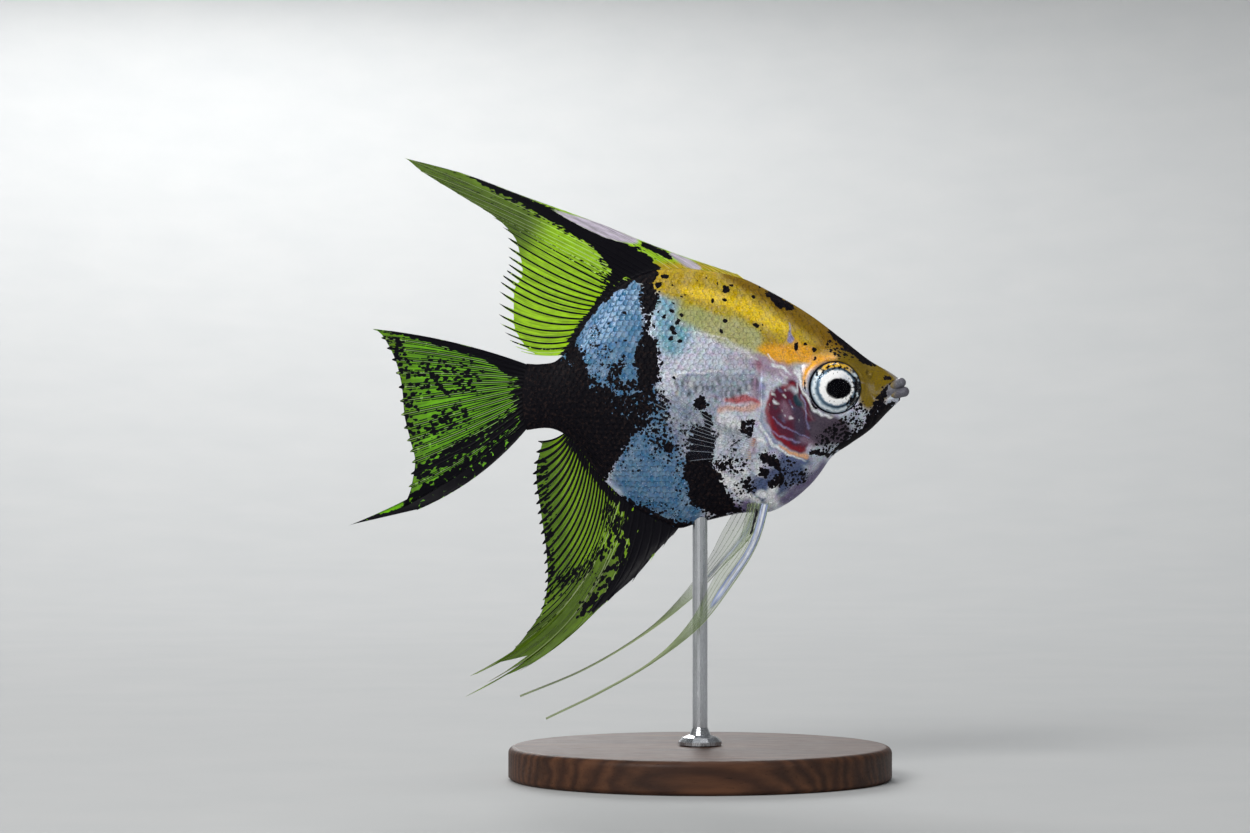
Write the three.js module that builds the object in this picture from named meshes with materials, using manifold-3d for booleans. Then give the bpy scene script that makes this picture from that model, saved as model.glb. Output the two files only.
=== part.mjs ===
// A young koi angelfish (Pterophyllum scalare), life size, on a small display stand.
// Millimetres. +X is towards the snout, +Z is up, +Y is the fish's left side.
// Shapes are worked out in the fish's own frame, [back, side, up]:
// back is the distance behind the tip of the jaw, up is the height above the body axis.
import * as THREE from 'three';
import { mergeVertices } from 'three/addons/utils/BufferGeometryUtils.js';
import Module from 'manifold-3d';

const SNOUT_X = 25.0;          // tip of the lower jaw
const AXIS_Z = 46.6;           // height of the body axis above the ground
const GAP = 0.12;              // clearance between neighbouring solids
const FIN_THICKNESS = 0.5;
const RAY_THICKNESS = 0.64;

// ---------------------------------------------------------------- body sizes

const MOUTH_PLANE = 2.0;       // where the jaws end and the head begins
const TAIL_PLANE = 38.6;       // where the trunk ends and the tail stalk begins
const CAUDAL_BASE = 45.8;      // where the tail stalk ends

// Height of the back and of the belly along the fish: [back, up]
const BACK_LINE = [
  [1.4, 1.7], [4.6, 3.6], [8.2, 6.4], [11.8, 9.1], [16.6, 11.9], [19.0, 13.1], [22.6, 14.1],
  [26.2, 14.6], [29.8, 14.5], [32.2, 13.8], [35.4, 12.0], [37.2, 10.0], [39.4, 7.3],
  [41.0, 4.6], [42.2, 3.6], [44.0, 3.2], [46.2, 3.3],
];
const BELLY_LINE = [
  [1.0, -1.2], [2.2, -2.3], [4.6, -4.7], [7.0, -6.4], [9.4, -8.2], [10.8, -10.2],
  [13.2, -12.6], [15.8, -14.2], [20.2, -14.7], [25.0, -15.8], [27.4, -16.4], [29.8, -15.5],
  [34.6, -12.5], [37.0, -10.1], [39.4, -7.0], [40.9, -5.3], [42.6, -4.6], [46.2, -4.8],
];
// Half the width of the body along the fish: [back, half width]
const HALF_WIDTH = [
  [1.0, 1.0], [2.0, 1.45], [5.0, 2.5], [9.0, 3.35], [13.0, 3.9], [16.0, 4.1], [20.0, 4.0],
  [25.0, 3.7], [30.0, 3.15], [35.0, 2.35], [40.0, 1.45], [43.0, 0.95], [46.2, 0.55],
];
const WIDEST = -0.12;          // where a section is widest, from -1 at the belly to 1 at the back
const BACK_FULLNESS = 0.78;    // lower is rounder, 1 is a plain lens
const BELLY_FULLNESS = 0.66;

// The rear edge of the gill opening, from the belly to the back: [place on the section, back]
const GILL_EDGE = [[-1, 9.8], [-0.8, 12.9], [-0.6, 15.6], [-0.3, 17.5], [0, 17.9], [0.3, 17.6], [1, 16.4]];

// ---------------------------------------------------------------- small tools

// A smooth curve through [x, y] points. A taut one never swings past its points.
function through(points, taut = false) {
  const steps = points.slice(1).map((p, i) => (p[1] - points[i][1]) / (p[0] - points[i][0]));
  const slopes = points.map((p, i) => {
    if (i === 0) return steps[0];
    if (i === points.length - 1) return steps[i - 1];
    const before = p[0] - points[i - 1][0];
    const after = points[i + 1][0] - p[0];
    if (!taut) return (steps[i - 1] * after + steps[i] * before) / (before + after);
    if (steps[i - 1] * steps[i] <= 0) return 0;
    return (before + after) / (before / steps[i - 1] + after / steps[i]);
  });
  return (x) => {
    let i = points.findIndex((p) => p[0] > x) - 1;
    if (i < 0) i = x < points[0][0] ? 0 : points.length - 2;
    const [x0, y0] = points[i];
    const [x1, y1] = points[i + 1];
    const span = x1 - x0;
    const u = Math.min(Math.max((x - x0) / span, 0), 1);
    const rise = u * u * (3 - 2 * u);
    const leave = u * (1 - u) * (1 - u) * slopes[i];
    const arrive = u * u * (u - 1) * slopes[i + 1];
    return y0 + (y1 - y0) * rise + span * (leave + arrive);
  };
}

const backLine = through(BACK_LINE);
const bellyLine = through(BELLY_LINE);
const halfWidth = through(HALF_WIDTH);
const gillEdge = through(GILL_EDGE);
const lerp = (a, b, u) => a + (b - a) * u;
const range = (count) => Array.from({ length: count }, (_, i) => i);
const place = ([back, side, up]) => [SNOUT_X - back, side, AXIS_Z + up];

// A point on the body's flank: v runs from -1 at the belly to 1 at the back.
function flank(back, v, out = 0) {
  const top = backLine(back) + out;
  const bottom = bellyLine(back) - out;
  const reach = v > WIDEST ? (v - WIDEST) / (1 - WIDEST) : (WIDEST - v) / (1 + WIDEST);
  const fullness = v > WIDEST ? BACK_FULLNESS : BELLY_FULLNESS;
  const side = (halfWidth(back) + out) * Math.pow(Math.max(1 - reach * reach, 0), fullness);
  return [back, side, lerp(bottom, top, (v + 1) / 2)];
}

// Half the body's width at a height above the axis.
function flankWidth(back, up) {
  return flank(back, 2 * (up - bellyLine(back)) / (backLine(back) - bellyLine(back)) - 1)[1];
}

// A closed indexed geometry from places and triangles, turned to face out.
function solid(places, triangles) {
  const positions = places.flatMap(place);
  let volume = 0;
  const at = (i) => new THREE.Vector3().fromArray(positions, 3 * i);
  for (const [a, b, c] of triangles) volume += at(a).dot(at(b).cross(at(c)));
  const index = triangles.flatMap(([a, b, c]) => (volume < 0 ? [a, c, b] : [a, b, c]));
  const geometry = new THREE.BufferGeometry();
  geometry.setAttribute('position', new THREE.Float32BufferAttribute(positions, 3));
  geometry.setIndex(index);
  return mergeVertices(geometry, 1e-4);
}

// Two triangles on four corners.
const quad = (a, b, c, d) => [[a, b, c], [a, c, d]];

// ---------------------------------------------------------------- lofted flesh

const AROUND = 10;             // steps from the belly to the back on one flank
const sectionPlaces = range(AROUND + 1).map((k) => -Math.cos(Math.PI * k / AROUND));

// Flesh between two edges, each given as back = edge(v). The ends are closed straight across.
function flesh(frontEdge, rearEdge, rings, out = 0) {
  const places = [];
  for (const i of range(rings + 1)) {
    const ring = sectionPlaces.map((v) => flank(lerp(frontEdge(v), rearEdge(v), i / rings), v, out));
    const mirrored = ring.slice(1, -1).reverse().map(([back, side, up]) => [back, -side, up]);
    places.push(...ring, ...mirrored);
  }
  const girth = 2 * AROUND;
  const triangles = [];
  for (const i of range(rings)) {
    for (const k of range(girth)) {
      const next = (k + 1) % girth;
      triangles.push(...quad(i * girth + k, i * girth + next, (i + 1) * girth + next, (i + 1) * girth + k));
    }
  }
  const across = (start, k) => start + (girth - k) % girth;
  for (const [start, flip] of [[0, true], [rings * girth, false]]) {
    for (const k of range(AROUND)) {
      const corners = [start + k, start + k + 1, across(start, k + 1), across(start, k)];
      const faces = quad(...corners).filter((t) => new Set(t).size === 3);
      triangles.push(...faces.map(([a, b, c]) => (flip ? [a, c, b] : [a, b, c])));
    }
  }
  return solid(places, triangles);
}

const flatEdge = (back) => () => back;
const shifted = (edge, by) => (v) => edge(v) + by;
const caudalEdge = (v) => CAUDAL_BASE + 0.5 * (1 - v * v);

// The gill cover is a rounded shield on the flank. It lies in a shallow seat, `margin` wider all
// round, that is cut from the head and the trunk. Both are made between two depths.
const GILL_COVER = { width: 5.4, narrowest: 1.2, low: -0.6, high: 0.3, inner: -0.35, outer: 0.2 };

function gillShield(hand, inner, outer, margin) {
  const { width, narrowest, low, high } = GILL_COVER;
  const columns = 6;
  const rows = 8;
  const places = [];
  for (const out of [inner, outer]) {
    for (const i of range(columns + 1)) {
      for (const j of range(rows + 1)) {
        const rise = 2 * j / rows - 1;
        const v = lerp(low, high, j / rows) + rise * margin / 11;
        const rear = gillEdge(v) + 0.3 + margin;
        const front = rear - narrowest - (width - narrowest) * Math.sqrt(1 - rise * rise) - 2 * margin;
        const [back, side, up] = flank(lerp(front, rear, i / columns), v);
        places.push([back, hand * (side + out), up]);
      }
    }
  }
  return sandwich(places, columns, rows);
}

// Joins two equal grids of places, one behind the other, into a closed plate.
function sandwich(places, columns, rows) {
  const layer = (columns + 1) * (rows + 1);
  const at = (side, i, j) => side * layer + i * (rows + 1) + j;
  const triangles = [];
  for (const i of range(columns)) {
    for (const j of range(rows)) {
      triangles.push(...quad(at(0, i, j), at(0, i, j + 1), at(0, i + 1, j + 1), at(0, i + 1, j)));
      triangles.push(...quad(at(1, i, j), at(1, i + 1, j), at(1, i + 1, j + 1), at(1, i, j + 1)));
    }
  }
  for (const i of range(columns)) {
    triangles.push(...quad(at(0, i, 0), at(0, i + 1, 0), at(1, i + 1, 0), at(1, i, 0)));
    triangles.push(...quad(at(0, i + 1, rows), at(0, i, rows), at(1, i, rows), at(1, i + 1, rows)));
  }
  for (const j of range(rows)) {
    triangles.push(...quad(at(0, 0, j + 1), at(0, 0, j), at(1, 0, j), at(1, 0, j + 1)));
    triangles.push(...quad(at(0, columns, j), at(0, columns, j + 1), at(1, columns, j + 1), at(1, columns, j)));
  }
  return solid(places, triangles);
}

// A lip: round sections along the fish, each [back, centre height, half height, half width].
function lip(stations) {
  const girth = 16;
  const places = stations.flatMap(([back, centre, halfHeight, half]) => range(girth).map((k) => {
    const turn = 2 * Math.PI * k / girth;
    return [back, half * Math.cos(turn), centre + halfHeight * Math.sin(turn)];
  }));
  const last = stations.length - 1;
  const triangles = [];
  for (const i of range(last)) {
    for (const k of range(girth)) {
      const next = (k + 1) % girth;
      triangles.push(...quad(i * girth + k, i * girth + next, (i + 1) * girth + next, (i + 1) * girth + k));
    }
  }
  for (const k of range(girth - 2)) {
    triangles.push([0, k + 2, k + 1], [last * girth, last * girth + k + 1, last * girth + k + 2]);
  }
  return solid(places, triangles);
}

// ---------------------------------------------------------------- fins

// A fin of rays. Each guide is [ray number, root, tip, bow]: root and tip are [back, up], and
// bow is how far the ray's middle stands off the straight line, upwards when positive.
// The membrane between two rays stops short of their tips by notch(ray number).
function rayFin({ rays, guides, notch, lean, rootThickness = RAY_THICKNESS, steps = 4 }) {
  const curve = (pick) => through(guides.map((g) => [g[0], pick(g)]), true);
  const rootBack = curve((g) => g[1][0]);
  const rootUp = curve((g) => g[1][1]);
  const tipBack = curve((g) => g[2][0]);
  const tipUp = curve((g) => g[2][1]);
  const bow = curve((g) => g[3]);
  const columns = 2 * (rays - 1);
  const places = [];
  for (const face of [-1, 1]) {
    for (const i of range(columns + 1)) {
      const ray = i / 2;
      const onRay = i % 2 === 0;
      const run = [tipBack(ray) - rootBack(ray), tipUp(ray) - rootUp(ray)];
      const length = Math.hypot(...run);
      const reach = onRay ? 1 : Math.max(1 - notch(ray) / length, 0.5);
      for (const j of range(steps + 1)) {
        const t = reach * j / steps;
        const off = 4 * bow(ray) * t * (1 - t) / length;
        const back = rootBack(ray) + run[0] * t - run[1] * off;
        const up = rootUp(ray) + run[1] * t + run[0] * off;
        const thick = lerp(rootThickness, onRay ? RAY_THICKNESS : FIN_THICKNESS, Math.min(4 * t, 1));
        places.push([back, lean(ray, t, up) + face * thick / 2, up]);
      }
    }
  }
  return sandwich(places, columns, steps);
}

// Soft free ray tips: the membrane falls back by `most` from ray `from` on.
const freeTips = (least, most, from, over) => (ray) =>
  lerp(least, most, Math.min(Math.max((ray - from) / over, 0), 1));

const onBack = (back) => [back, backLine(back) + GAP];
const onBelly = (back) => [back, bellyLine(back) - GAP];
const onTail = (up) => [caudalEdge((up + 0.75) / 4.05) + GAP, up];

// Dorsal fin: thirteen hard spines lying back, then soft rays, the first drawn out to a streamer.
const DORSAL = {
  rays: 36,
  guides: [
    [0, onBack(19.7), [20.6, 14.1], 0], [3, onBack(22.0), [25.0, 15.5], 0.1],
    [6, onBack(24.6), [30.4, 17.4], 0.2], [9, onBack(27.6), [37.0, 20.1], 0.3],
    [11, onBack(29.6), [46.7, 23.6], 0.5], [12, onBack(30.5), [54.0, 26.3], 0.6],
    [13, onBack(31.4), [60.5, 28.0], 0.7], [14, onBack(32.0), [58.6, 26.4], 0.6],
    [16, onBack(33.2), [54.2, 23.7], 0.3], [19, onBack(34.7), [49.9, 20.9], 0],
    [21, onBack(35.6), [48.1, 18.4], -0.4], [24, onBack(36.8), [48.0, 15.2], -0.7],
    [27, onBack(38.0), [49.0, 13.1], -0.9], [30, onBack(39.3), [49.2, 9.2], -1.0],
    [33, onBack(40.5), [47.9, 6.1], -0.7], [35, onBack(41.3), [46.5, 4.7], -0.3],
  ],
  notch: freeTips(0.3, 1.3, 17, 6),
  lean: (ray, t) => 0.9 * t * t + 0.1 * Math.sin(2.1 * ray) * t,
};

// Anal fin: six spines, then soft rays that sweep down and back into a streamer.
const ANAL = {
  rays: 32,
  guides: [
    [0, onBelly(27.5), [28.3, -17.4], 0], [1, onBelly(28.5), [29.5, -18.8], -0.2],
    [2, onBelly(29.6), [31.0, -20.5], -0.4], [3, onBelly(30.6), [33.2, -23.0], -0.6],
    [4, onBelly(31.5), [36.2, -25.4], -1.1], [5, onBelly(32.2), [41.6, -29.9], -2.2],
    [6, onBelly(32.8), [46.9, -33.7], -3.1], [7, onBelly(33.4), [53.2, -36.7], -3.7],
    [8, onBelly(34.0), [50.6, -35.0], -3.5], [9, onBelly(34.5), [52.6, -34.2], -3.3],
    [10, onBelly(35.0), [49.1, -32.6], -3.0], [12, onBelly(35.8), [45.8, -29.0], -2.4],
    [14, onBelly(36.5), [44.1, -26.2], -1.9], [17, onBelly(37.5), [43.6, -23.0], -1.5],
    [20, onBelly(38.4), [43.8, -19.6], -1.2], [24, onBelly(39.5), [44.5, -14.8], -0.9],
    [28, onBelly(40.5), [45.1, -10.0], -0.6], [31, onBelly(41.3), [44.4, -6.0], -0.3],
  ],
  notch: freeTips(0.3, 0.5, 12, 6),
  lean: (ray, t) => -0.8 * t * t + 0.1 * Math.sin(1.9 * ray) * t,
};

// Tail fin: a blunt fan, the lowest rays drawn out to a short thread.
const CAUDAL = {
  rays: 17,
  rootThickness: 0.9,
  guides: [
    [0, onTail(3.15), [64.2, 7.4], 0.6], [1, onTail(2.7), [63.2, 6.3], 0.5],
    [3, onTail(1.9), [61.9, 3.7], 0.3], [5, onTail(1.1), [61.1, 0.4], 0.1],
    [7, onTail(0.2), [60.8, -2.9], 0], [9, onTail(-0.8), [60.1, -6.0], -0.2],
    [11, onTail(-1.8), [59.5, -8.6], -0.4], [13, onTail(-2.8), [59.9, -11.5], -0.7],
    [14, onTail(-3.3), [60.9, -13.9], -0.8], [15, onTail(-3.9), [67.2, -16.2], -0.9],
    [16, onTail(-4.55), [58.9, -14.3], -1.0],
  ],
  notch: () => 0.4,
  lean: (ray, t) => -1.2 * t * t + 0.12 * Math.sin(2.3 * ray) * t,
};

// Breast fin: a small fan held a little off the flank behind the gill opening.
const pectoral = (hand) => ({
  rays: 11,
  rootThickness: 1.1,
  steps: 3,
  guides: [
    [0, [18.4, -5.8], [30.4, 1.0], -0.5], [3, [18.6, -6.4], [30.4, -1.6], -0.3],
    [6, [18.8, -7.1], [29.6, -4.0], -0.1], [8, [18.9, -7.6], [28.5, -5.9], 0],
    [10, [19.0, -8.2], [26.3, -8.4], 0.2],
  ],
  notch: () => 0.25,
  lean: (ray, t, up) => hand * (flankWidth(18.8, up) * (1 - t) + lerp(4.4, 6.4, t) * t + 0.3 * t * (1 - t)),
});

// Belly fin: a blade between two edges that thins into a long trailing thread.
function bladeFin({ front, rear, hand }) {
  const columns = 6;
  const rows = 12;
  const edge = (points, axis) => through(points.map((p, i) => [i / (points.length - 1), p[axis]]));
  const edges = [front, rear].map((points) => [edge(points, 0), edge(points, 1)]);
  const places = [];
  for (const face of [-1, 1]) {
    for (const i of range(columns + 1)) {
      for (const j of range(rows + 1)) {
        const t = j / rows;
        const [[frontBack, frontUp], [rearBack, rearUp]] = edges;
        const back = lerp(frontBack(t), rearBack(t), i / columns);
        const up = lerp(frontUp(t), rearUp(t), i / columns);
        const side = 0.9 + 3.4 * Math.pow(t, 0.7) + 0.25 * Math.sin(Math.PI * i / columns) * (1 - t);
        const thick = i % 2 === 0 ? RAY_THICKNESS : FIN_THICKNESS;
        places.push([back, hand * side + face * thick / 2, up]);
      }
    }
  }
  return sandwich(places, columns, rows);
}

const PELVIC_RIGHT = {
  hand: -1,
  front: [[16.3, -11.6], [18.0, -18.0], [20.9, -22.9], [25.1, -28.5], [30.5, -32.6], [36.8, -36.2], [43.3, -39.3]],
  rear: [[19.0, -12.0], [20.4, -18.0], [23.2, -22.0], [26.4, -27.4], [30.9, -32.0], [37.0, -35.6], [43.5, -38.8]],
};
const PELVIC_LEFT = {
  hand: 1,
  front: [[16.5, -11.6], [18.6, -17.2], [22.0, -21.0], [26.4, -25.7], [31.8, -29.8], [38.8, -33.9], [46.6, -37.2]],
  rear: [[19.6, -12.0], [22.2, -16.8], [24.2, -20.6], [27.6, -25.0], [32.1, -29.2], [39.0, -33.4], [46.8, -36.7]],
};

// ---------------------------------------------------------------- eyes

const EYE = { back: 9.0, up: 0.35, side: 2.45, radius: 3.4, depth: 1.85, yaw: 0.14, lens: 1.45 };

// A flattened ball with a low round lens on its outer face. Its axis runs sideways, a little forward.
function eyeBall(hand, grow = 0, lensHeight = 0.22) {
  const steps = 11;
  const radius = EYE.radius + grow;
  const depth = EYE.depth + grow;
  const outline = range(steps + 1).map((k) => {
    const turn = Math.PI * k / steps;
    const r = k === 0 || k === steps ? 0 : radius * Math.sin(turn);
    const onFace = turn > Math.PI / 2 && r < EYE.lens;
    const bulge = onFace ? lensHeight * (1 - (r / EYE.lens) ** 2) : 0;
    return new THREE.Vector2(r, bulge - depth * Math.cos(turn));
  });
  const geometry = new THREE.LatheGeometry(outline, 18);
  if (hand < 0) geometry.rotateX(Math.PI);
  geometry.rotateZ(-hand * EYE.yaw);
  geometry.translate(...place([EYE.back, hand * EYE.side, EYE.up]));
  return geometry;
}

// ---------------------------------------------------------------- stand

const STAND = { radius: 23, height: 4, bevel: 0.8, rod: 0.9, foot: 2.6, footHeight: 0.9, reach: 33.2 };

function turned(points, segments) {
  const geometry = new THREE.LatheGeometry(points.map(([r, z]) => new THREE.Vector2(r, z)), segments);
  return geometry.rotateX(Math.PI / 2);
}

function standBase() {
  const { radius, height, bevel } = STAND;
  const rounding = range(4).map((k) => {
    const turn = Math.PI / 2 * k / 3;
    return [radius - bevel * (1 - Math.cos(turn)), height - bevel * (1 - Math.sin(turn))];
  });
  return turned([[0, 0], [radius - 0.4, 0], [radius, 0.4], ...rounding, [0, height]], 40);
}

function standRod() {
  const { height, rod, foot, footHeight, reach } = STAND;
  const floor = height + GAP;
  const profile = [
    [0, floor], [foot, floor], [foot, floor + 0.4], [foot - 0.5, floor + footHeight],
    [rod + 0.4, floor + footHeight + 0.3], [rod, floor + footHeight + 1.2], [rod, reach], [0, reach],
  ];
  return turned(profile, 16);
}

// ---------------------------------------------------------------- cuts

const wasm = await Module();
wasm.setup();

function manifoldOf(geometry) {
  const bare = geometry.clone();
  bare.deleteAttribute('normal');
  bare.deleteAttribute('uv');
  const merged = mergeVertices(bare, 1e-4);
  const source = merged.getIndex().array;
  const triangles = [];
  for (let i = 0; i < source.length; i += 3) {
    const [a, b, c] = source.slice(i, i + 3);
    if (a !== b && b !== c && c !== a) triangles.push(a, b, c);
  }
  return new wasm.Manifold(new wasm.Mesh({
    numProp: 3,
    vertProperties: new Float32Array(merged.getAttribute('position').array),
    triVerts: new Uint32Array(triangles),
  }));
}

function cut(geometry, ...tools) {
  const result = tools.reduce((body, tool) => body.subtract(manifoldOf(tool)), manifoldOf(geometry)).getMesh();
  const cutGeometry = new THREE.BufferGeometry();
  cutGeometry.setAttribute('position', new THREE.Float32BufferAttribute(result.vertProperties, 3));
  cutGeometry.setIndex(Array.from(result.triVerts));
  return cutGeometry;
}

// ---------------------------------------------------------------- assembly

const group = new THREE.Group();

function add(name, geometry, color, roughness = 0.4, metalness = 0) {
  const mesh = new THREE.Mesh(geometry, new THREE.MeshStandardMaterial({ color, roughness, metalness }));
  mesh.name = name;
  group.add(mesh);
}

const COLOURS = {
  gold: 0xb98a2c, pearl: 0x9fb2bd, black: 0x15141a, lip: 0x8d8a96, gill: 0x8c3a3c,
  dorsal: 0x8fb52a, anal: 0x5c7422, caudal: 0x5d7a1c, pectoral: 0xb9c4cc, pelvic: 0x9fb4d6,
  iris: 0xdfe3e6, wood: 0x3a2418, steel: 0xb8bcc0,
};

const gillSeats = [-1, 1].map((hand) => gillShield(hand, GILL_COVER.inner - GAP, 1.5, GAP));
const eyeSockets = [-1, 1].map((hand) => eyeBall(hand, GAP, 0));
const mouthEdge = flatEdge(MOUTH_PLANE + GAP / 2);
const tailEdge = flatEdge(TAIL_PLANE);

const head = flesh(mouthEdge, shifted(gillEdge, -GAP / 2), 11);
const trunk = flesh(shifted(gillEdge, GAP / 2), shifted(tailEdge, -GAP / 2), 16);
const tail = flesh(shifted(tailEdge, GAP / 2), caudalEdge, 7);
const wholeBody = flesh(mouthEdge, caudalEdge, 40, GAP);

add('head', cut(head, ...eyeSockets, ...gillSeats), COLOURS.gold, 0.35);
add('trunk', cut(trunk, ...gillSeats), COLOURS.pearl, 0.3, 0.2);
add('tail', tail, COLOURS.black);
add('upper_jaw', lip([
  [0.5, 0.95, 0.15, 0.3], [0.8, 0.97, 0.45, 0.75], [1.3, 1.0, 0.68, 1.05], [MOUTH_PLANE - GAP / 2, 1.07, 0.93, 1.3],
]), COLOURS.lip);
add('lower_jaw', lip([
  [0, -0.05, 0.14, 0.28], [0.4, -0.3, 0.42, 0.7], [1.0, -0.68, 0.62, 1.0], [MOUTH_PLANE - GAP / 2, -1.1, 0.92, 1.25],
]), COLOURS.lip);

for (const [side, hand] of [['right', -1], ['left', 1]]) {
  add(`eye_${side}`, eyeBall(hand), COLOURS.iris, 0.1);
  add(`gill_cover_${side}`, gillShield(hand, GILL_COVER.inner, GILL_COVER.outer, 0), COLOURS.gill, 0.3);
  add(`pectoral_fin_${side}`, cut(rayFin(pectoral(hand)), wholeBody), COLOURS.pectoral, 0.3);
  add(`pelvic_fin_${side}`, cut(bladeFin(hand < 0 ? PELVIC_RIGHT : PELVIC_LEFT), wholeBody), COLOURS.pelvic, 0.3);
}
add('dorsal_fin', rayFin(DORSAL), COLOURS.dorsal, 0.35);
add('anal_fin', rayFin(ANAL), COLOURS.anal, 0.35);
add('caudal_fin', rayFin(CAUDAL), COLOURS.caudal, 0.35);
add('stand_base', standBase(), COLOURS.wood, 0.45);
add('stand_rod', cut(standRod(), wholeBody), COLOURS.steel, 0.3, 0.9);

export default group;
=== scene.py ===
"""A young koi angelfish, life size, on a small display stand.

Shapes are worked out in the fish's own frame in millimetres, [back, side, up]: back is the
distance behind the tip of the jaw, side is towards the fish's left, and up is the height above
the body axis. World places are in metres, with +X to the snout and +Z up.
"""
import math

import bpy
import numpy as np
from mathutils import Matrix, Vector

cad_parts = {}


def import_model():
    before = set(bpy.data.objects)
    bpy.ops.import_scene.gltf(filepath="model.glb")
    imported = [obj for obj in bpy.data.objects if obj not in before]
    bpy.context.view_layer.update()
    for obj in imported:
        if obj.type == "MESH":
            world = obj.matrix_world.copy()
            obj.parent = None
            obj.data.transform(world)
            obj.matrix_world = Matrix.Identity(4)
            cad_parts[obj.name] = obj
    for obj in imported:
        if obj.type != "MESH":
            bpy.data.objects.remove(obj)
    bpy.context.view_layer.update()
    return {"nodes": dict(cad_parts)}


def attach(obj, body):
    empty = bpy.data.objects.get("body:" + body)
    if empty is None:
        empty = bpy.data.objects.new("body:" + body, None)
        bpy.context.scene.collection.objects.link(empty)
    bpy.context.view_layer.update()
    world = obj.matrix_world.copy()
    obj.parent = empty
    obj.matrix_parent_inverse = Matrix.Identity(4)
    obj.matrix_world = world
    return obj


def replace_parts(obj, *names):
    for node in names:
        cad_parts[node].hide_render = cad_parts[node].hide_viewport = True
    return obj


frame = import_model()

MM = 0.001
SNOUT_X = 25.0
AXIS_Z = 46.6
RIGHT, LEFT = -1, 1

# ------------------------------------------------------------------ body sizes, as in the solids

BACK_LINE = [
    (1.0, 1.35), (1.6, 1.8), (4.6, 3.6), (8.2, 6.4), (11.8, 9.1), (16.6, 11.9), (19.0, 13.1),
    (22.6, 14.1), (26.2, 14.6), (29.8, 14.5), (32.2, 13.8), (35.4, 12.0), (37.2, 10.0),
    (39.4, 7.3), (41.0, 4.6), (42.2, 3.6), (44.0, 3.2), (46.4, 3.3),
]
BELLY_LINE = [
    (1.0, -1.15), (2.2, -2.3), (4.6, -4.7), (7.0, -6.4), (9.4, -8.2), (10.8, -10.2),
    (13.2, -12.6), (15.8, -14.2), (20.2, -14.7), (25.0, -15.8), (27.4, -16.4), (29.8, -15.5),
    (34.6, -12.5), (37.0, -10.1), (39.4, -7.0), (40.9, -5.3), (42.6, -4.6), (46.4, -4.8),
]
HALF_WIDTH = [
    (1.0, 0.85), (2.0, 1.4), (5.0, 2.45), (9.0, 3.3), (13.0, 3.85), (16.0, 4.05), (20.0, 3.95),
    (25.0, 3.65), (30.0, 3.1), (35.0, 2.3), (40.0, 1.4), (43.0, 0.9), (46.4, 0.5),
]
WIDEST = -0.12
BACK_FULLNESS = 0.78
BELLY_FULLNESS = 0.66
GILL_EDGE = [
    (-1, 9.8), (-0.8, 12.9), (-0.6, 15.6), (-0.3, 17.5), (0, 17.9), (0.3, 17.6), (1, 16.4),
]
SKIN_START = 1.0
TAIL_PLANE = 38.6
CAUDAL_BASE = 45.8
EYE = dict(back=9.0, up=0.35, side=2.45, radius=3.4, depth=1.85, yaw=0.14, seen=3.2)


def through(points, taut=False):
    """A smooth curve through (x, y) points. A taut one never swings past its points."""
    xs = np.array([p[0] for p in points], float)
    ys = np.array([p[1] for p in points], float)
    span = np.diff(xs)
    rise = np.diff(ys) / span
    slopes = np.empty_like(xs)
    slopes[0], slopes[-1] = rise[0], rise[-1]
    before, after = span[:-1], span[1:]
    if taut:
        same = rise[:-1] * rise[1:] > 0
        safe = [np.where(same, part, 1.0) for part in (rise[:-1], rise[1:])]
        slopes[1:-1] = np.where(same, (before + after) / (before / safe[0] + after / safe[1]), 0)
    else:
        slopes[1:-1] = (rise[:-1] * after + rise[1:] * before) / (before + after)

    def curve(x):
        x = np.asarray(x, float)
        i = np.clip(np.searchsorted(xs, x, side="right") - 1, 0, len(xs) - 2)
        u = np.clip((x - xs[i]) / span[i], 0, 1)
        ease = u * u * (3 - 2 * u)
        leave = u * (1 - u) ** 2 * slopes[i]
        arrive = u * u * (u - 1) * slopes[i + 1]
        return ys[i] + (ys[i + 1] - ys[i]) * ease + span[i] * (leave + arrive)

    return curve


back_line = through(BACK_LINE)
belly_line = through(BELLY_LINE)
half_width = through(HALF_WIDTH)
gill_edge = through(GILL_EDGE)


def lerp(a, b, u):
    return a + (b - a) * u


def smooth(x, low=0.0, high=1.0):
    u = np.clip((np.asarray(x, float) - low) / (high - low), 0, 1)
    return u * u * (3 - 2 * u)


def bump(x, centre, width):
    return np.exp(-((x - centre) / width) ** 2)


def caudal_edge(v):
    return CAUDAL_BASE + 0.5 * (1 - v * v)


def flank(back, v):
    """Side and height of the plain flank. v runs from -1 at the belly to 1 at the back."""
    top, bottom = back_line(back), belly_line(back)
    above = v > WIDEST
    reach = np.where(above, (v - WIDEST) / (1 - WIDEST), (WIDEST - v) / (1 + WIDEST))
    fullness = np.where(above, BACK_FULLNESS, BELLY_FULLNESS)
    side = half_width(back) * np.maximum(1 - reach * reach, 0) ** fullness
    return side, lerp(bottom, top, (v + 1) / 2)


def section_place(back, up):
    """The place v on the section at this distance and height."""
    top, bottom = back_line(back), belly_line(back)
    return 2 * (up - bottom) / (top - bottom) - 1


# ------------------------------------------------------------------ colours and markings

def srgb(r, g, b):
    """A colour given as 0..255 screen values, as linear light."""
    parts = [c / 255 for c in (r, g, b)]
    return tuple(c / 12.92 if c <= 0.04045 else ((c + 0.055) / 1.055) ** 2.4 for c in parts)


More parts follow.
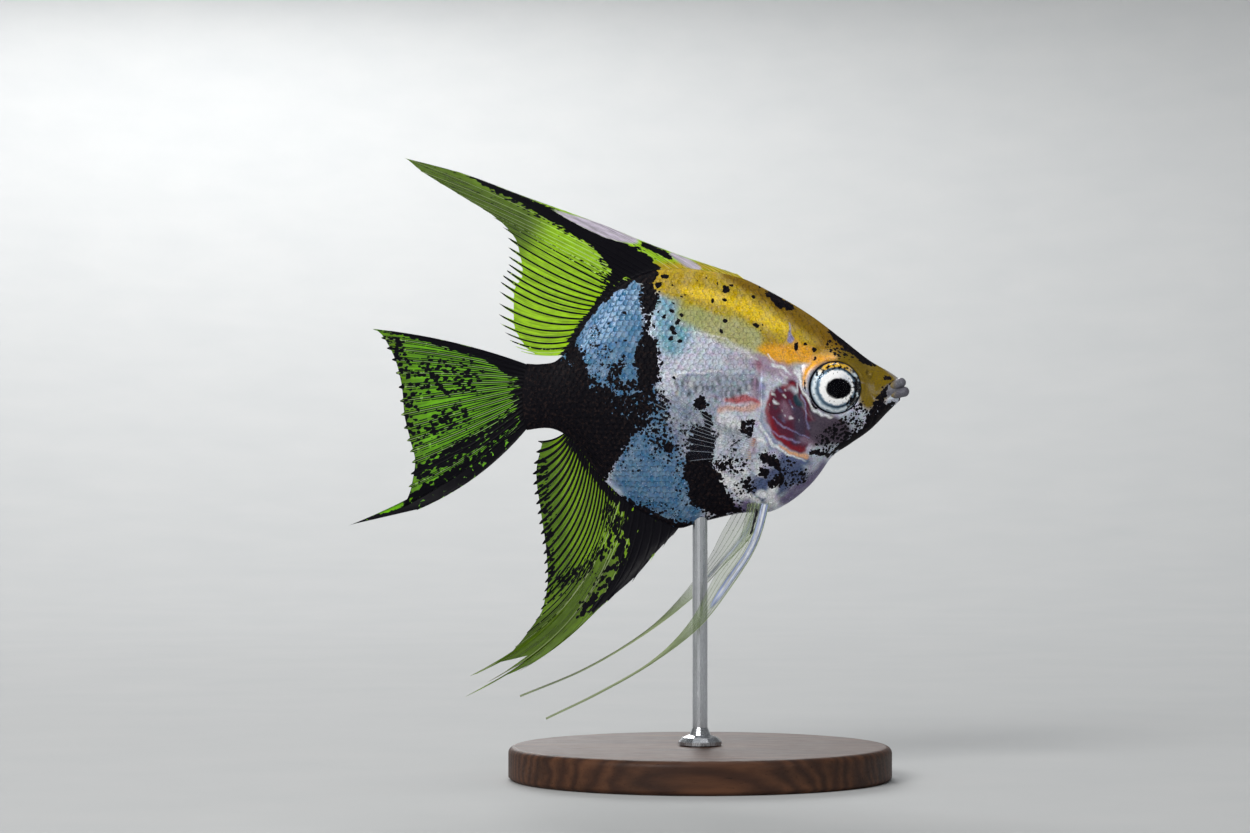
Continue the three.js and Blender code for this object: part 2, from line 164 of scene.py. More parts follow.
PEARL = srgb(208, 212, 226)
SILVER_LOW = srgb(146, 158, 176)
PALE_BLUE = srgb(122, 162, 182)
STEEL_BLUE = srgb(92, 126, 158)
BELLY_BLUE = srgb(88, 98, 128)
GOLD = srgb(198, 168, 44)
BRIGHT_GOLD = srgb(255, 222, 104)
OLIVE_GOLD = srgb(176, 174, 104)
HEAD_GOLD = srgb(168, 132, 44)
BROWN_GOLD = srgb(122, 92, 30)
ORANGE = srgb(250, 180, 70)
OLIVE = srgb(124, 104, 42)
CHEEK = srgb(62, 48, 60)
ROSE_SILVER = srgb(156, 132, 152)
DARK_RED = srgb(90, 50, 62)
GILL_DARK = srgb(66, 60, 76)
GILL_RED = srgb(134, 66, 70)
TEAL = srgb(30, 60, 70)
VEIN = srgb(150, 150, 196)
WHITE = srgb(250, 252, 255)
PEACH = srgb(214, 176, 164)
PALE_ORANGE = srgb(244, 196, 160)
BLUSH = srgb(186, 106, 106)
PURPLE = srgb(98, 84, 122)
LIP_GREY = srgb(108, 107, 114)
INK = srgb(12, 11, 17)
INK_BROWN = srgb(42, 32, 31)
HIGHLIGHT_CREAM = srgb(238, 218, 200)
GILL_BLUE = srgb(102, 112, 148)

# Painted over each other in turn: (colour, softness, strength, strokes). A stroke is a chain of
# round spots (back, up, radius) joined up.
TINTS = [
    (PALE_BLUE, 2.0, 1.0, [[(27.5, 9.5, 3.5), (28.5, 6.0, 2.0)], [(27.5, -1, 1), (29, -6, 3.5), (28, -10, 3)]]),
    (STEEL_BLUE, 1.4, 1.0, [[(46, 0, 5), (38, 0, 5)], [(35, 11, 3.5), (36, 7, 4.5), (35, 1, 4.5), (32, -3, 3)],
                            [(30.5, -5, 3), (31, -10, 4.5), (28.5, -14, 4)]]),
    (ROSE_SILVER, 1.2, 0.5, [[(27.8, -1.5, 1.2), (27.2, -4.8, 1.2), (26.6, -7.4, 0.6)], [(21, 3.6, 0.8), (18.4, 3.2, 0.8)]]),
    # Painted highlight: small cream glint spots on the flank behind the gill.
    (HIGHLIGHT_CREAM, 0.7, 0.8, [[(26.4, 1.2, 0.3), (26.0, 0.6, 0.3)], [(27.8, -0.4, 0.2)]]),
    (SILVER_LOW, 1.2, 0.75, [[(26, 0.5, 1.8), (22, 1.0, 1.8), (18.8, 1.0, 1.4)], [(27, -3, 2), (23, -2.5, 1.5)]]),
    (OLIVE_GOLD, 1.6, 0.85, [[(26, 9.6, 2.0), (21.5, 8.0, 2.4), (17.5, 6.4, 2.4), (14, 4.8, 1.8)]]),
    (HEAD_GOLD, 1.6, 1.0, [[(15, 7, 2.4), (10, 6.0, 2.6), (7, 4.2, 2.0)]]),
    (GOLD, 1.6, 1.0, [[(30.4, 13.6, 1.6), (25.5, 12.8, 2.6), (19, 11.2, 2.8), (13.5, 7.8, 2.9)]]),
    (BRIGHT_GOLD, 0.8, 0.9, [[(27, 12.1, 0.5), (23, 11.2, 0.75), (19.5, 9.8, 0.9), (14.8, 7.3, 0.6)]]),
    (BROWN_GOLD, 1.4, 0.9, [[(22, 14.0, 0.6), (16.5, 11.4, 1.0), (11.4, 7.8, 1.3), (7.5, 5.2, 1.0)]]),
    (OLIVE, 1.2, 1.0, [[(6.6, 3.6, 1.9), (4.2, 1.8, 1.8), (2.6, 1.0, 1.3)], [(5.6, 0.2, 1.1), (4.8, -1.4, 0.9)], [(4.4, 0.4, 1.2), (3.6, -0.4, 1.1)]]),
    (ORANGE, 1.1, 0.95, [[(17.4, 5.0, 0.5), (15.6, 4.3, 1.1), (13.8, 4.5, 1.3), (12.6, 4.3, 1.0)],
                         [(9.4, 4.0, 0.4), (11.4, 3.4, 0.5), (12.5, 2.0, 0.35), (12.7, 0.8, 0.2)]]),
    (CHEEK, 1.0, 0.95, [[(11.6, -4.4, 2.2), (8.4, -5.0, 1.6)], [(12.0, -2.2, 1.0), (11.4, -4.6, 1.2)], [(12.9, -0.4, 0.4), (12.5, -2.0, 0.5)]]),
    (SILVER_LOW, 0.5, 0.5, [[(8.3, -3.3, 0.15), (6.6, -2.7, 0.35), (6.2, -3.6, 0.25)]]),
    (BELLY_BLUE, 1.2, 1.0, [[(14, -9.8, 1.8), (17.5, -11.6, 1.8)], [(12.5, -8.3, 0.8), (15, -8.6, 1)]]),
    (PURPLE, 0.8, 0.9, [[(10.2, -9.2, 0.7), (12.6, -11.6, 0.7), (14.8, -13.2, 0.7)], [(19.6, -14.0, 0.9), (21, -14.2, 0.5)]]),
    (ROSE_SILVER, 0.9, 0.9, [[(17.9, 3.4, 0.8), (16.0, 2.6, 1.0), (14.2, 2.0, 0.9)], [(18.4, 1.0, 0.6), (18.2, -2, 0.4)]]),
    (GILL_RED, 0.8, 0.6, [[(18.2, 3.2, 0.25), (18.0, 2.0, 0.3)], [(18.6, -6.0, 0.2), (18.9, -7.4, 0.25)]]),
    (DARK_RED, 0.6, 1.0, [[(15.4, -0.2, 0.9), (15.1, -1.6, 1.9), (14.65, -3.4, 2.3), (14.1, -5.0, 1.9), (13.2, -6.4, 1.0)],
                          [(14.2, 0.9, 0.4), (13.2, 0.2, 0.4), (12.5, -1.6, 0.4), (11.9, -3.4, 0.4)]]),
    (GILL_RED, 0.45, 0.85, [[(16.6, -0.2, 0.2), (17.1, -2.0, 0.24), (16.8, -3.9, 0.34), (15.7, -5.5, 0.42), (14.2, -6.6, 0.34),
                             (12.6, -7.2, 0.2)], [(15.0, 0.5, 0.2), (14.2, 0.6, 0.3)]]),
    (GILL_DARK, 0.9, 0.9, [[(13.5, -2.4, 0.6), (13.1, -4.2, 0.9), (13.2, -5.8, 0.6)], [(15.4, -3.0, 0.5)]]),
    (ROSE_SILVER, 0.9, 0.5, [[(15.2, -1.8, 0.4), (14.6, -2.8, 0.5)], [(12.6, -6.0, 0.5), (11.4, -6.4, 0.4)]]),
    (TEAL, 0.4, 0.9, [[(13.6, -0.8, 0.4), (13.2, -1.6, 0.3)], [(16.1, -1.9, 0.15)]]),
    (VEIN, 0.24, 0.9, [[(16.7, -3.2, 0.02), (15.8, -4.0, 0.04), (14.6, -4.7, 0.05), (12.2, -5.5, 0.03)],
                       [(12.9, -0.6, 0.03), (12.5, -2.4, 0.05), (12.1, -4.6, 0.03)],
                       [(16.9, -4.4, 0.0), (15.2, -5.5, 0.04), (13.2, -6.3, 0.03)]]),
    (GILL_BLUE, 0.5, 0.6, [[(15.9, 0.6, 0.1), (15.4, 0.1, 0.2)], [(14.4, -1.2, 0.12), (13.9, -2.2, 0.1)], [(15.0, -3.6, 0.2)]]),
    # Painted highlights: the small white specks on the gill cover.
    (WHITE, 0.16, 0.95, [[(16.5, -0.4, 0.1), (15.9, -0.8, 0.05)], [(16.2, -1.3, 0.1), (15.7, -1.6, 0.02)],
                         [(15.3, -0.4, 0.04), (15.0, -0.9, 0.07)], [(14.3, -3.1, 0.12), (14.1, -3.3, 0.02)], [(14.0, -2.1, 0.05)],
                         [(15.3, -2.3, 0.04)], [(14.9, -2.9, 0.05)], [(13.4, -3.6, 0.04)], [(12.9, -2.8, 0.05)],
                         [(15.6, 0.5, 0.07)], [(14.9, 0.2, 0.05)], [(16.7, -1.6, 0.03)], [(13.6, -0.2, 0.05)]]),
    (BLUSH, 0.5, 0.9, [[(21.8, -1.1, 0.35), (19.6, -1.0, 0.45), (18.4, -1.3, 0.3)]]),
    (PEACH, 0.5, 0.9, [[(22.6, -2.3, 0.35), (19.5, -2.1, 0.4), (18.2, -1.9, 0.3)]]),
    (WHITE, 0.9, 0.85, [[(22.2, -3.4, 0.9), (20.6, -4.3, 0.9)], [(22.8, -5, 0.4), (22.6, -6.5, 0.5)]]),
    (WHITE, 0.45, 1.0, [[(22.9, -9.8, 0.35), (22.4, -10.4, 0.6), (21.0, -11.4, 0.75), (20.0, -12.4, 0.5), (18, -13.2, 0.35)],
                        [(20.6, -9.6, 0.25), (19.6, -9.9, 0.35)], [(22.0, -8.4, 0.2), (21.0, -8.8, 0.25)],
                        [(16.3, -11.2, 0.25), (16.7, -13.2, 0.45), (15.8, -13.8, 0.3)], [(18.2, -8.6, 0.2), (17.9, -10, 0.25)],
                        [(18.2, -12.2, 0.3), (16.4, -12.6, 0.3)], [(15.9, -10.8, 0.2), (16.5, -12.6, 0.4), (16.9, -13.9, 0.3)]]),
    (GILL_BLUE, 0.8, 0.75, [[(17.8, -2.6, 0.35), (17.5, -4.6, 0.5), (16.4, -6.4, 0.6), (14.6, -7.7, 0.6), (12.4, -8.3, 0.5)],
                            [(17.6, 0.6, 0.3), (17.9, -0.8, 0.3)]]),
    (WHITE, 0.3, 0.95, [[(17.9, -0.9, 0.02), (18.0, -3.4, 0.08), (17.5, -5.0, 0.16), (16.2, -6.7, 0.2), (14.6, -7.7, 0.16),
                         (12.4, -8.3, 0.06)], [(18.2, -5.8, 0.2), (17.2, -6.2, 0.1)], [(17.8, -7.2, 0.15), (17.0, -7.4, 0.05)]]),
    (PALE_ORANGE, 0.3, 0.9, [[(15.6, -6.7, 0.15), (14.0, -7.5, 0.25), (12.2, -7.8, 0.25)]]),
    (WHITE, 0.24, 1.0, [[(13.6, 2.4, 0.3), (13.1, 1.2, 0.18), (12.7, -0.4, 0.08), (11.9, -1.8, 0.08), (10.6, -2.9, 0.1),
                         (9.2, -3.35, 0.07)], [(16.2, 2.9, 0.2), (15.0, 2.8, 0.15), (14.2, 2.0, 0.1)],
                        [(13.5, 0.7, 0.08), (13.4, -0.3, 0.04)], [(15.9, 1.4, 0.1), (15.3, 1.1, 0.06)], [(14.8, 2.2, 0.08)],
                        [(15.7, 2.1, 0.06), (14.6, 1.4, 0.08)], [(17.0, 4.4, 0.1), (16.2, 3.6, 0.08)]]),
    (VEIN, 0.2, 0.9, [[(14.2, 8.2, 0.1), (14.15, 7.0, 0.1), (14.25, 6.1, 0.3)]]),
    (WHITE, 0.2, 0.85, [[(29.4, 1.7, 0.14), (25.5, 2.2, 0.1), (20.6, 2.3, 0.06)]]),
    (WHITE, 0.2, 0.5, [[(27, 7.0, 0.06), (22.6, 6.5, 0.08), (18.2, 3.6, 0.08)]]),
    (LIP_GREY, 0.5, 1.0, [[(1.2, 0.4, 0.9), (2.2, 0.1, 0.75), (3.0, -0.4, 0.4)]]),
]

# Black pigment: (raggedness, most, strokes). Where `most` is below 1 the patch stays broken
# into dots.
SOLID = 1.6
BLACKS = [
    (0.8, SOLID, [[(46.5, -0.6, 4.6), (42.5, -0.5, 4.6)], [(43, -1, 5)], [(40.4, 5.2, 0.9), (39.6, 2.8, 1.2), (40, -0.5, 2.0),
                  (37.6, -4, 2.5), (35.8, -5.2, 2.4), (37.2, -8.4, 2.0), (38.0, -10, 1)],
                 [(43, -4.4, 1.0), (40.6, -4.6, 1.5), (38.6, -6.6, 1.7), (37, -10.4, 0.7)]]),
    (0.9, 0.95, [[(39.6, 1, 1.4), (37.2, -0.8, 1.6), (35.0, -2.6, 1.8)]]),
    (0.3, SOLID, [[(40.8, 5.0, 0.6), (39.1, 7.7, 0.25), (36.9, 10.4, 0.2), (35.0, 12.3, 0.25), (33.4, 13.2, 0.5)],
                  [(33.6, 14.2, 0.9), (31.8, 13.8, 1.1), (30.6, 13.8, 0.7)]]),
    (0.9, 1.15, [[(31.2, 12.4, 0.9), (31.3, 10.8, 1.2), (31.2, 9.9, 0.6), (31.5, 8.2, 0.35), (31.5, 6.6, 0.5), (31.3, 5.2, 1.3),
                 (31.2, 3.6, 1.6), (31.3, 1.8, 1.4), (31.8, 0.6, 1.0)]]),
    (0.8, 0.75, [[(34.6, 3.2, 0.5), (35.4, 1.4, 0.8), (35.0, 0.2, 0.8), (33.2, 0.8, 0.5)]]),
    (0.9, 0.85, [[(36.4, -1.8, 1.4), (33.6, -2.4, 2.0), (31.6, -1.4, 1.6)], [(33.4, -4.2, 1.3), (31.8, -3.2, 1.2)]]),
    (1.2, 0.55, [[(30.6, -1.2, 1.5), (30.2, -4.0, 1.6), (29.8, -6.2, 1.1)]]),
    (1.4, 0.3, [[(30.2, -4.8, 2.1), (29.6, -7.6, 1.2)], [(34.4, -6, 1.5), (33.4, -8.6, 1.0)], [(38.4, 4, 1), (38, 1, 1)],
                [(36.8, 3.0, 1.0), (37.8, 6.4, 0.8)]]),
    (0.5, 1.2, [[(28.8, -6.8, 0.7)], [(32.2, -9.6, 0.05)]]),
    (0.5, 1.3, [[(25.0, -1.5, 0.95)], [(24.4, -3.0, 0.45), (24.0, -4.2, 0.5)]]),
    (0.9, 1.3, [[(24.8, -5.6, 1.6), (25.2, -7.6, 1.6), (25.0, -10, 1.9), (24.2, -12.2, 2.4), (22.6, -13.6, 1.7),
                 (20.6, -14.3, 0.6)], [(27.2, -16.4, 0.5), (22, -15.2, 0.4)]]),
    (0.8, 0.95, [[(34.2, -13.2, 0.5), (32, -14.6, 0.9), (28, -16.2, 0.5)]]),
    (1.4, 0.38, [[(26.8, -5.0, 0.7), (27.2, -8.6, 0.9), (26.6, -12.5, 0.9)], [(32.4, -14.4, 1.2), (28.2, -15, 0.8)],
                 [(22.4, -9.0, 0.9), (20.2, -8.8, 0.8)], [(20.6, -12.4, 0.8), (19.6, -11.3, 0.8)]]),
    (0.6, 0.8, [[(19.6, -4.4, 0.8), (19.0, -3.9, 0.5), (19.2, -5.2, 0.5)]]),
    (0.9, 0.6, [[(22.6, -8.9, 0.7), (21.0, -8.7, 0.8), (19.8, -8.9, 0.5)], [(20.9, -6.1, 0.3), (21.1, -7.1, 0.4)]]),
    (0.7, 1.1, [[(17.2, -7.9, 0.8), (16.2, -8.6, 0.8), (15.4, -9.4, 0.4)], [(17.5, -9.8, 0.6)], [(19.3, -11.1, 0.7)],
                [(16.4, -11.2, 0.5), (15.6, -10.6, 0.6)]]),
    (1.0, 0.42, [[(14.4, -10.6, 1.0), (12.6, -10.0, 0.6)], [(15, -8.6, 1.0)]]),
    (0.35, 1.2, [[(11.5, -7.5, 0.35), (9.6, -7.7, 0.3)]]),
    (0.4, 1.25, [[(1.9, -1.5, 0.3), (2.8, -2.4, 0.7), (4.2, -4.0, 0.9), (5.8, -5.4, 0.7), (7.6, -6.4, 0.45), (9.2, -7.5, 0.2)]]),
    (0.5, 0.9, [[(2.9, -0.3, 0.25), (3.4, -1.0, 0.6), (4.0, -2.4, 0.8), (4.6, -3.4, 0.8)]]),
    (0.9, 0.52, [[(5.2, -3.4, 1.2), (7.8, -4.6, 1.3), (10.2, -6.2, 1.0)], [(6.0, -1.8, 0.5), (7, -3.3, 0.5)]]),
    (0.2, 1.2, [[(12.5, 1.2, 0.03), (12.35, -0.5, 0.05), (11.5, -1.9, 0.08), (10, -2.75, 0.06)]]),
    (0.35, 1.4, [[(9.4, 7.3, 0.25), (8.2, 6.2, 0.7), (6.6, 4.9, 0.75), (5.2, 3.7, 0.6), (4.2, 3.3, 0.3)]]),
    (0.8, 0.5, [[(9.4, 5.4, 0.4), (8.6, 4.6, 0.5), (8.2, 5.6, 0.6), (7, 4.2, 0.4)]]),
    (0.35, 1.4, [[(16.8, 11.6, 0.3), (15.6, 10.7, 0.65), (14.2, 9.9, 0.45)]]),
    (0.3, 1.2, [[(2.8, 1.5, 0.28), (2.3, 1.5, 0.24)], [(1.8, 1.15, 0.1), (2.6, 0.5, 0.12), (3.2, -0.4, 0.3)]]),
]

# Where the muscle shows through the clear wall of the body as fine upright bars.
MUSCLE_BARS = [[(18.6, 0.4, 1.4), (23, 0.2, 2.2), (27.4, 0.3, 1.6)], [(20, -4.5, 1.4), (26, -3.5, 1.6)]]

# Single dots of the gold back and the blue flank: (back, up, radius)
DOTS = [
    (18.0, 12.4, 0.3), (18.7, 11.3, 0.4), (17.8, 11.6, 0.2), (21.9, 12.2, 0.5), (21.3, 12.5, 0.25), (22.0, 8.4, 0.4),
    (22.4, 7.0, 0.28), (18.4, 7.7, 0.45), (17.6, 7.9, 0.28), (17.7, 7.1, 0.28), (13.6, 5.3, 0.45), (12.4, 5.4, 0.3),
    (11.5, 4.8, 0.42), (11.3, 3.8, 0.3), (29.2, 13.7, 0.5), (29.9, 12.7, 0.4), (28.3, 12.5, 0.25), (25.3, 13.0, 0.22),
    (24.1, 13.6, 0.2), (23.0, 12.9, 0.2), (23.4, 10.7, 0.38), (22.2, 10.8, 0.36), (25.8, 11.8, 0.26), (26.9, 11.4, 0.26),
    (27.3, 11.1, 0.22), (27.1, 9.0, 0.42), (27.6, 8.2, 0.45), (28.3, 7.5, 0.5), (28.0, 6.9, 0.45), (28.4, 6.1, 0.36),
    (27.6, 5.8, 0.4), (28.2, 10.5, 0.24), (27.6, 9.9, 0.2), (28.4, 9.4, 0.34), (29.3, 8.9, 0.3), (30.0, 9.5, 0.26),
    (30.4, 7.7, 0.3), (34.1, 9.4, 0.3), (35.8, 8.2, 0.24), (37.2, 7.5, 0.2), (36.5, 5.0, 0.26), (35.6, 4.8, 0.26),
    (35.1, 5.6, 0.24), (33.8, 6.1, 0.26), (34.3, 4.1, 0.2), (37.4, 5.8, 0.18), (36.8, 3.2, 0.22), (23.0, 2.3, 0.16),
    (28.1, 1.6, 0.26), (32.9, -8.8, 0.16), (30.2, -9.0, 0.16), (31.0, -12.0, 0.22), (28.6, -11.2, 0.16), (3.2, 0.4, 0.2),
]


def stroke_depth(back, up, strokes):
    """How deep a place lies inside any of the strokes, in mm. Outside it is negative."""
    best = np.full(np.shape(back), -1e3)
    for chain in strokes:
        ends = chain if len(chain) > 1 else chain * 2
        for (b0, u0, r0), (b1, u1, r1) in zip(ends, ends[1:]):
            run_b, run_u = b1 - b0, u1 - u0
            length = max(run_b * run_b + run_u * run_u, 1e-9)
            t = np.clip(((back - b0) * run_b + (up - u0) * run_u) / length, 0, 1)
            gap = np.hypot(back - b0 - run_b * t, up - u0 - run_u * t)
            best = np.maximum(best, lerp(r0, r1, t) - gap)
    return best


def inked(blacks, back, up):
    """Black pigment: 0.5 along the outline of each stroke, rising inwards up to its most."""
    ink = np.full(np.shape(back), -2.0)
    for ragged, most, strokes in blacks:
        ink = np.maximum(ink, np.minimum(0.5 + stroke_depth(back, up, strokes) / ragged, most))
    return ink


def other_side(back, side, up):
    """The left flank carries the same kind of pattern, shifted a little, as on a real koi form."""
    on_left = smooth(side, 0.0, 0.6)
    shift_back = 0.9 * np.sin(0.45 * up + 1.0) + 0.5 * np.sin(0.9 * up + 0.35 * back)
    shift_up = 0.7 * np.sin(0.4 * back + 2.0)
    far_from_head = smooth(back, 13, 19) * (1 - smooth(back, 38, 41))
    return back + on_left * far_from_head * shift_back, up + on_left * far_from_head * shift_up


def wandering(back, up):
    """Shifts places a little so that no marking has a ruled edge."""
    body = smooth(back, 3.0, 6.0)
    shift_back = 0.14 * np.sin(2.3 * back + 1.3 * up) + 0.05 * np.sin(5.3 * up - 2.3 * back + 1)
    shift_up = 0.14 * np.sin(2.1 * up - 1.7 * back + 2) + 0.05 * np.sin(5.1 * back + 2.9 * up)
    return back + body * shift_back, up + body * shift_up


def markings(back, side, up):
    """Skin colour, black pigment and silver shine at places on the body."""
    back, up = wandering(*other_side(back, side, up))
    tint = np.empty(np.shape(back) + (3,))
    tint[...] = PEARL
    for colour, softness, strength, strokes in TINTS:
        depth = stroke_depth(back, up, strokes)
        cover = strength * smooth(depth, -softness / 2, softness / 2)
        tint = lerp(tint, np.array(colour), cover[..., None])
    ink = inked(BLACKS, back, up)
    for dot_back, dot_up, radius in DOTS:
        ink = np.maximum(ink, 0.4 + (0.8 * radius - np.hypot(back - dot_back, up - dot_up)) / 0.16)
    bars = 0.5 + 0.5 * np.sin(8.4 * back - 2.2 * up + 1.5 * np.sin(1.3 * up))
    bars = bars * (0.65 + 0.35 * np.sin(2.9 * up + 1.3 * back + 1.2 * np.sin(1.9 * back)))
    bars = bars * smooth(stroke_depth(back, up, MUSCLE_BARS), 0.0, 1.0)
    tint = tint * (1 - 0.78 * bars[..., None])
    lightness = tint.mean(axis=-1)
    blueness = smooth(tint[..., 2] - tint[..., 0], -0.1, 0.1)
    silver = smooth(lightness, 0.02, 0.4) * (0.35 + 0.65 * blueness)
    return {"tint": tint, "ink": ink, "silver": silver}


# ------------------------------------------------------------------ mesh making

def world(places):
    """Fish places in mm, [back, side, up], as world places in metres."""
    places = np.asarray(places, float)
    out = np.empty_like(places)
    out[..., 0] = (SNOUT_X - places[..., 0]) * MM
    out[..., 1] = places[..., 1] * MM
    out[..., 2] = (AXIS_Z + places[..., 2]) * MM
    return out


def facing_out(points, faces):
    """The faces, turned round if they enclose a negative volume."""
    p = points[faces]
    volume = np.einsum("ij,ij->", p[:, 0], np.cross(p[:, 1], p[:, 2]))
    volume += np.einsum("ij,ij->", p[:, 0], np.cross(p[:, 2], p[:, 3]))
    return faces[:, ::-1] if volume < 0 else faces


def piece(name, places, faces, material, slot, data=None, uv=None, is_world=False):
    """A smooth mesh object from places and quads (a triangle repeats its last corner)."""
    points = np.asarray(places, float).reshape(-1, 3)
    if not is_world:
        points = world(points)
    faces = np.asarray(faces)
    turned = facing_out(points, faces)
    flipped = turned is not faces
    corners = [[c for k, c in enumerate(f) if c not in f[:k]] for f in turned.tolist()]
    mesh = bpy.data.meshes.new(name)
    mesh.from_pydata(points.tolist(), [], corners)
    for key, values in (data or {}).items():
        values = np.asarray(values, float)
        if values.ndim > 1 and values.shape[-1] == 3 and key == "tint":
            flat = values.reshape(-1, 3)
            colour = np.ones((len(flat), 4))
            colour[:, :3] = flat
            mesh.attributes.new(key, "FLOAT_COLOR", "POINT").data.foreach_set("color", colour.ravel())
        elif values.ndim > 1 and values.shape[-1] == 3:
            mesh.attributes.new(key, "FLOAT_VECTOR", "POINT").data.foreach_set("vector", values.ravel())
        else:
            mesh.attributes.new(key, "FLOAT", "POINT").data.foreach_set("value", values.ravel())
    if uv is not None:
        per_corner = np.asarray(uv, float)
        if flipped:
            per_corner = per_corner[:, ::-1]
        flat = [per_corner[f][k] for f, row in enumerate(turned.tolist())
                for k, c in enumerate(row) if c not in row[:k]]
        layer = mesh.uv_layers.new(name="OFBake")
        layer.data.foreach_set("uv", np.array(flat).ravel())
    mesh.shade_smooth()
    mesh.materials.append(material)
    made = bpy.data.objects.new(name, mesh)
    bpy.context.scene.collection.objects.link(made)
    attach(made, "root")
    return made


def grid_faces(rows, columns, wrap=False, start=0):
    """Quads of a grid of places, rows by columns. With wrap the last column joins the first."""
    wide = columns if wrap else columns - 1
    i, j = np.meshgrid(np.arange(rows - 1), np.arange(wide), indexing="ij")
    i, j = i.ravel(), j.ravel()
    k = (j + 1) % columns
    return start + np.stack([i * columns + j, i * columns + k, (i + 1) * columns + k, (i + 1) * columns + j], 1)


def sandwich(front, back):
    """A closed plate from two equal grids of places: its places and its quads."""
    rows, columns = front.shape[:2]
    layer = rows * columns
    places = np.concatenate([front.reshape(-1, 3), back.reshape(-1, 3)])
    faces = [grid_faces(rows, columns), grid_faces(rows, columns, start=layer)[:, ::-1]]
    index = np.arange(layer).reshape(rows, columns)
    for edge in (index[0, ::-1], index[:, 0], index[-1], index[::-1, -1]):
        a, b = edge[:-1], edge[1:]
        faces.append(np.stack([a, b, b + layer, a + layer], 1)[:, ::-1])
    return places, np.concatenate(faces)


# ------------------------------------------------------------------ materials

class Nodes:
    """Small helper that adds and joins the nodes of one material."""

    def __init__(self, name):
        self.material = bpy.data.materials.new(name)
        self.material.use_nodes = True
        self.tree = self.material.node_tree
        self.tree.nodes.clear()
        self.output = self.add("ShaderNodeOutputMaterial")

    def add(self, kind, **settings):
        node = self.tree.nodes.new(kind)
        for key, value in settings.items():
            setattr(node, key, value)
        return node

    def set(self, node, socket, value):
        target = node.inputs[socket]
        if isinstance(value, bpy.types.NodeSocket):
            self.tree.links.new(value, target)
        elif isinstance(value, tuple) and len(value) == 3 and target.type == "RGBA":
            target.default_value = (*value, 1.0)
        else:
            target.default_value = value
        return node

    def value(self, name):
        return self.add("ShaderNodeAttribute", attribute_name=name).outputs["Fac"]

    def colour(self, name):
        return self.add("ShaderNodeAttribute", attribute_name=name).outputs["Color"]

    def vector(self, name):
        return self.add("ShaderNodeAttribute", attribute_name=name).outputs["Vector"]

    def place(self):
        return self.add("ShaderNodeTexCoord").outputs["Object"]

    def math(self, operation, a, b=0.0, c=0.0, clamp=False):
        node = self.add("ShaderNodeMath", operation=operation, use_clamp=clamp)
        for socket, value in enumerate((a, b, c)):
            self.set(node, socket, value)
        return node.outputs[0]

    def ramp(self, value, low, high, to_low=0.0, to_high=1.0):
        node = self.add("ShaderNodeMapRange", interpolation_type="SMOOTHSTEP")
        for socket, part in enumerate((value, low, high, to_low, to_high)):
            self.set(node, socket, part)
        return node.outputs[0]

    def mix(self, factor, a, b, blend="MIX"):
        node = self.add("ShaderNodeMix", data_type="RGBA", blend_type=blend)
        self.set(node, 0, factor)
        self.set(node, 6, a)
        self.set(node, 7, b)
        return node.outputs[2]

    def noise(self, vector, size, detail=2.0, roughness=0.5, colour=False):
        node = self.add("ShaderNodeTexNoise")
        self.set(node, "Vector", vector)
        self.set(node, "Scale", 1 / size)
        self.set(node, "Detail", detail)
        self.set(node, "Roughness", roughness)
        return node.outputs["Color" if colour else "Fac"]

    def cells(self, vector, size, output="Distance", randomness=1.0):
        node = self.add("ShaderNodeTexVoronoi")
        self.set(node, "Vector", vector)
        self.set(node, "Scale", 1 / size)
        self.set(node, "Randomness", randomness)
        return node.outputs[output]

    def stretched(self, vector, x, y, z):
        node = self.add("ShaderNodeVectorMath", operation="MULTIPLY")
        self.set(node, 0, vector)
        node.inputs[1].default_value = (x, y, z)
        return node.outputs[0]

    def bumped(self, height, distance, strength=1.0):
        node = self.add("ShaderNodeBump")
        self.set(node, "Height", height)
        node.inputs["Distance"].default_value = distance
        node.inputs["Strength"].default_value = strength
        return node.outputs["Normal"]

    def surface(self, **sockets):
        shader = self.add("ShaderNodeBsdfPrincipled")
        for key, value in sockets.items():
            self.set(shader, key.replace("_", " "), value)
        self.tree.links.new(shader.outputs[0], self.output.inputs["Surface"])
        return shader


def dotted_ink(n, ink, vector, sizes=(0.46 * MM, 0.27 * MM)):
    """Black pigment: none below 0, half covered with round dots at 0.5, solid above 1.2."""
    large = n.math("SUBTRACT", 1.0, n.math("MULTIPLY", n.cells(vector, sizes[0]), 1.5))
    small = n.math("SUBTRACT", 1.0, n.math("MULTIPLY", n.cells(vector, sizes[1]), 1.9))
    wander = n.math("MULTIPLY", n.math("SUBTRACT", n.noise(vector, 0.9 * MM, 2), 0.5), 0.9)
    dots = n.math("MULTIPLY", n.math("MAXIMUM", large, small), 0.9)
    level = n.math("SUBTRACT", n.math("ADD", ink, dots), 0.78)
    return n.ramp(n.math("ADD", level, wander), -0.05, 0.07)


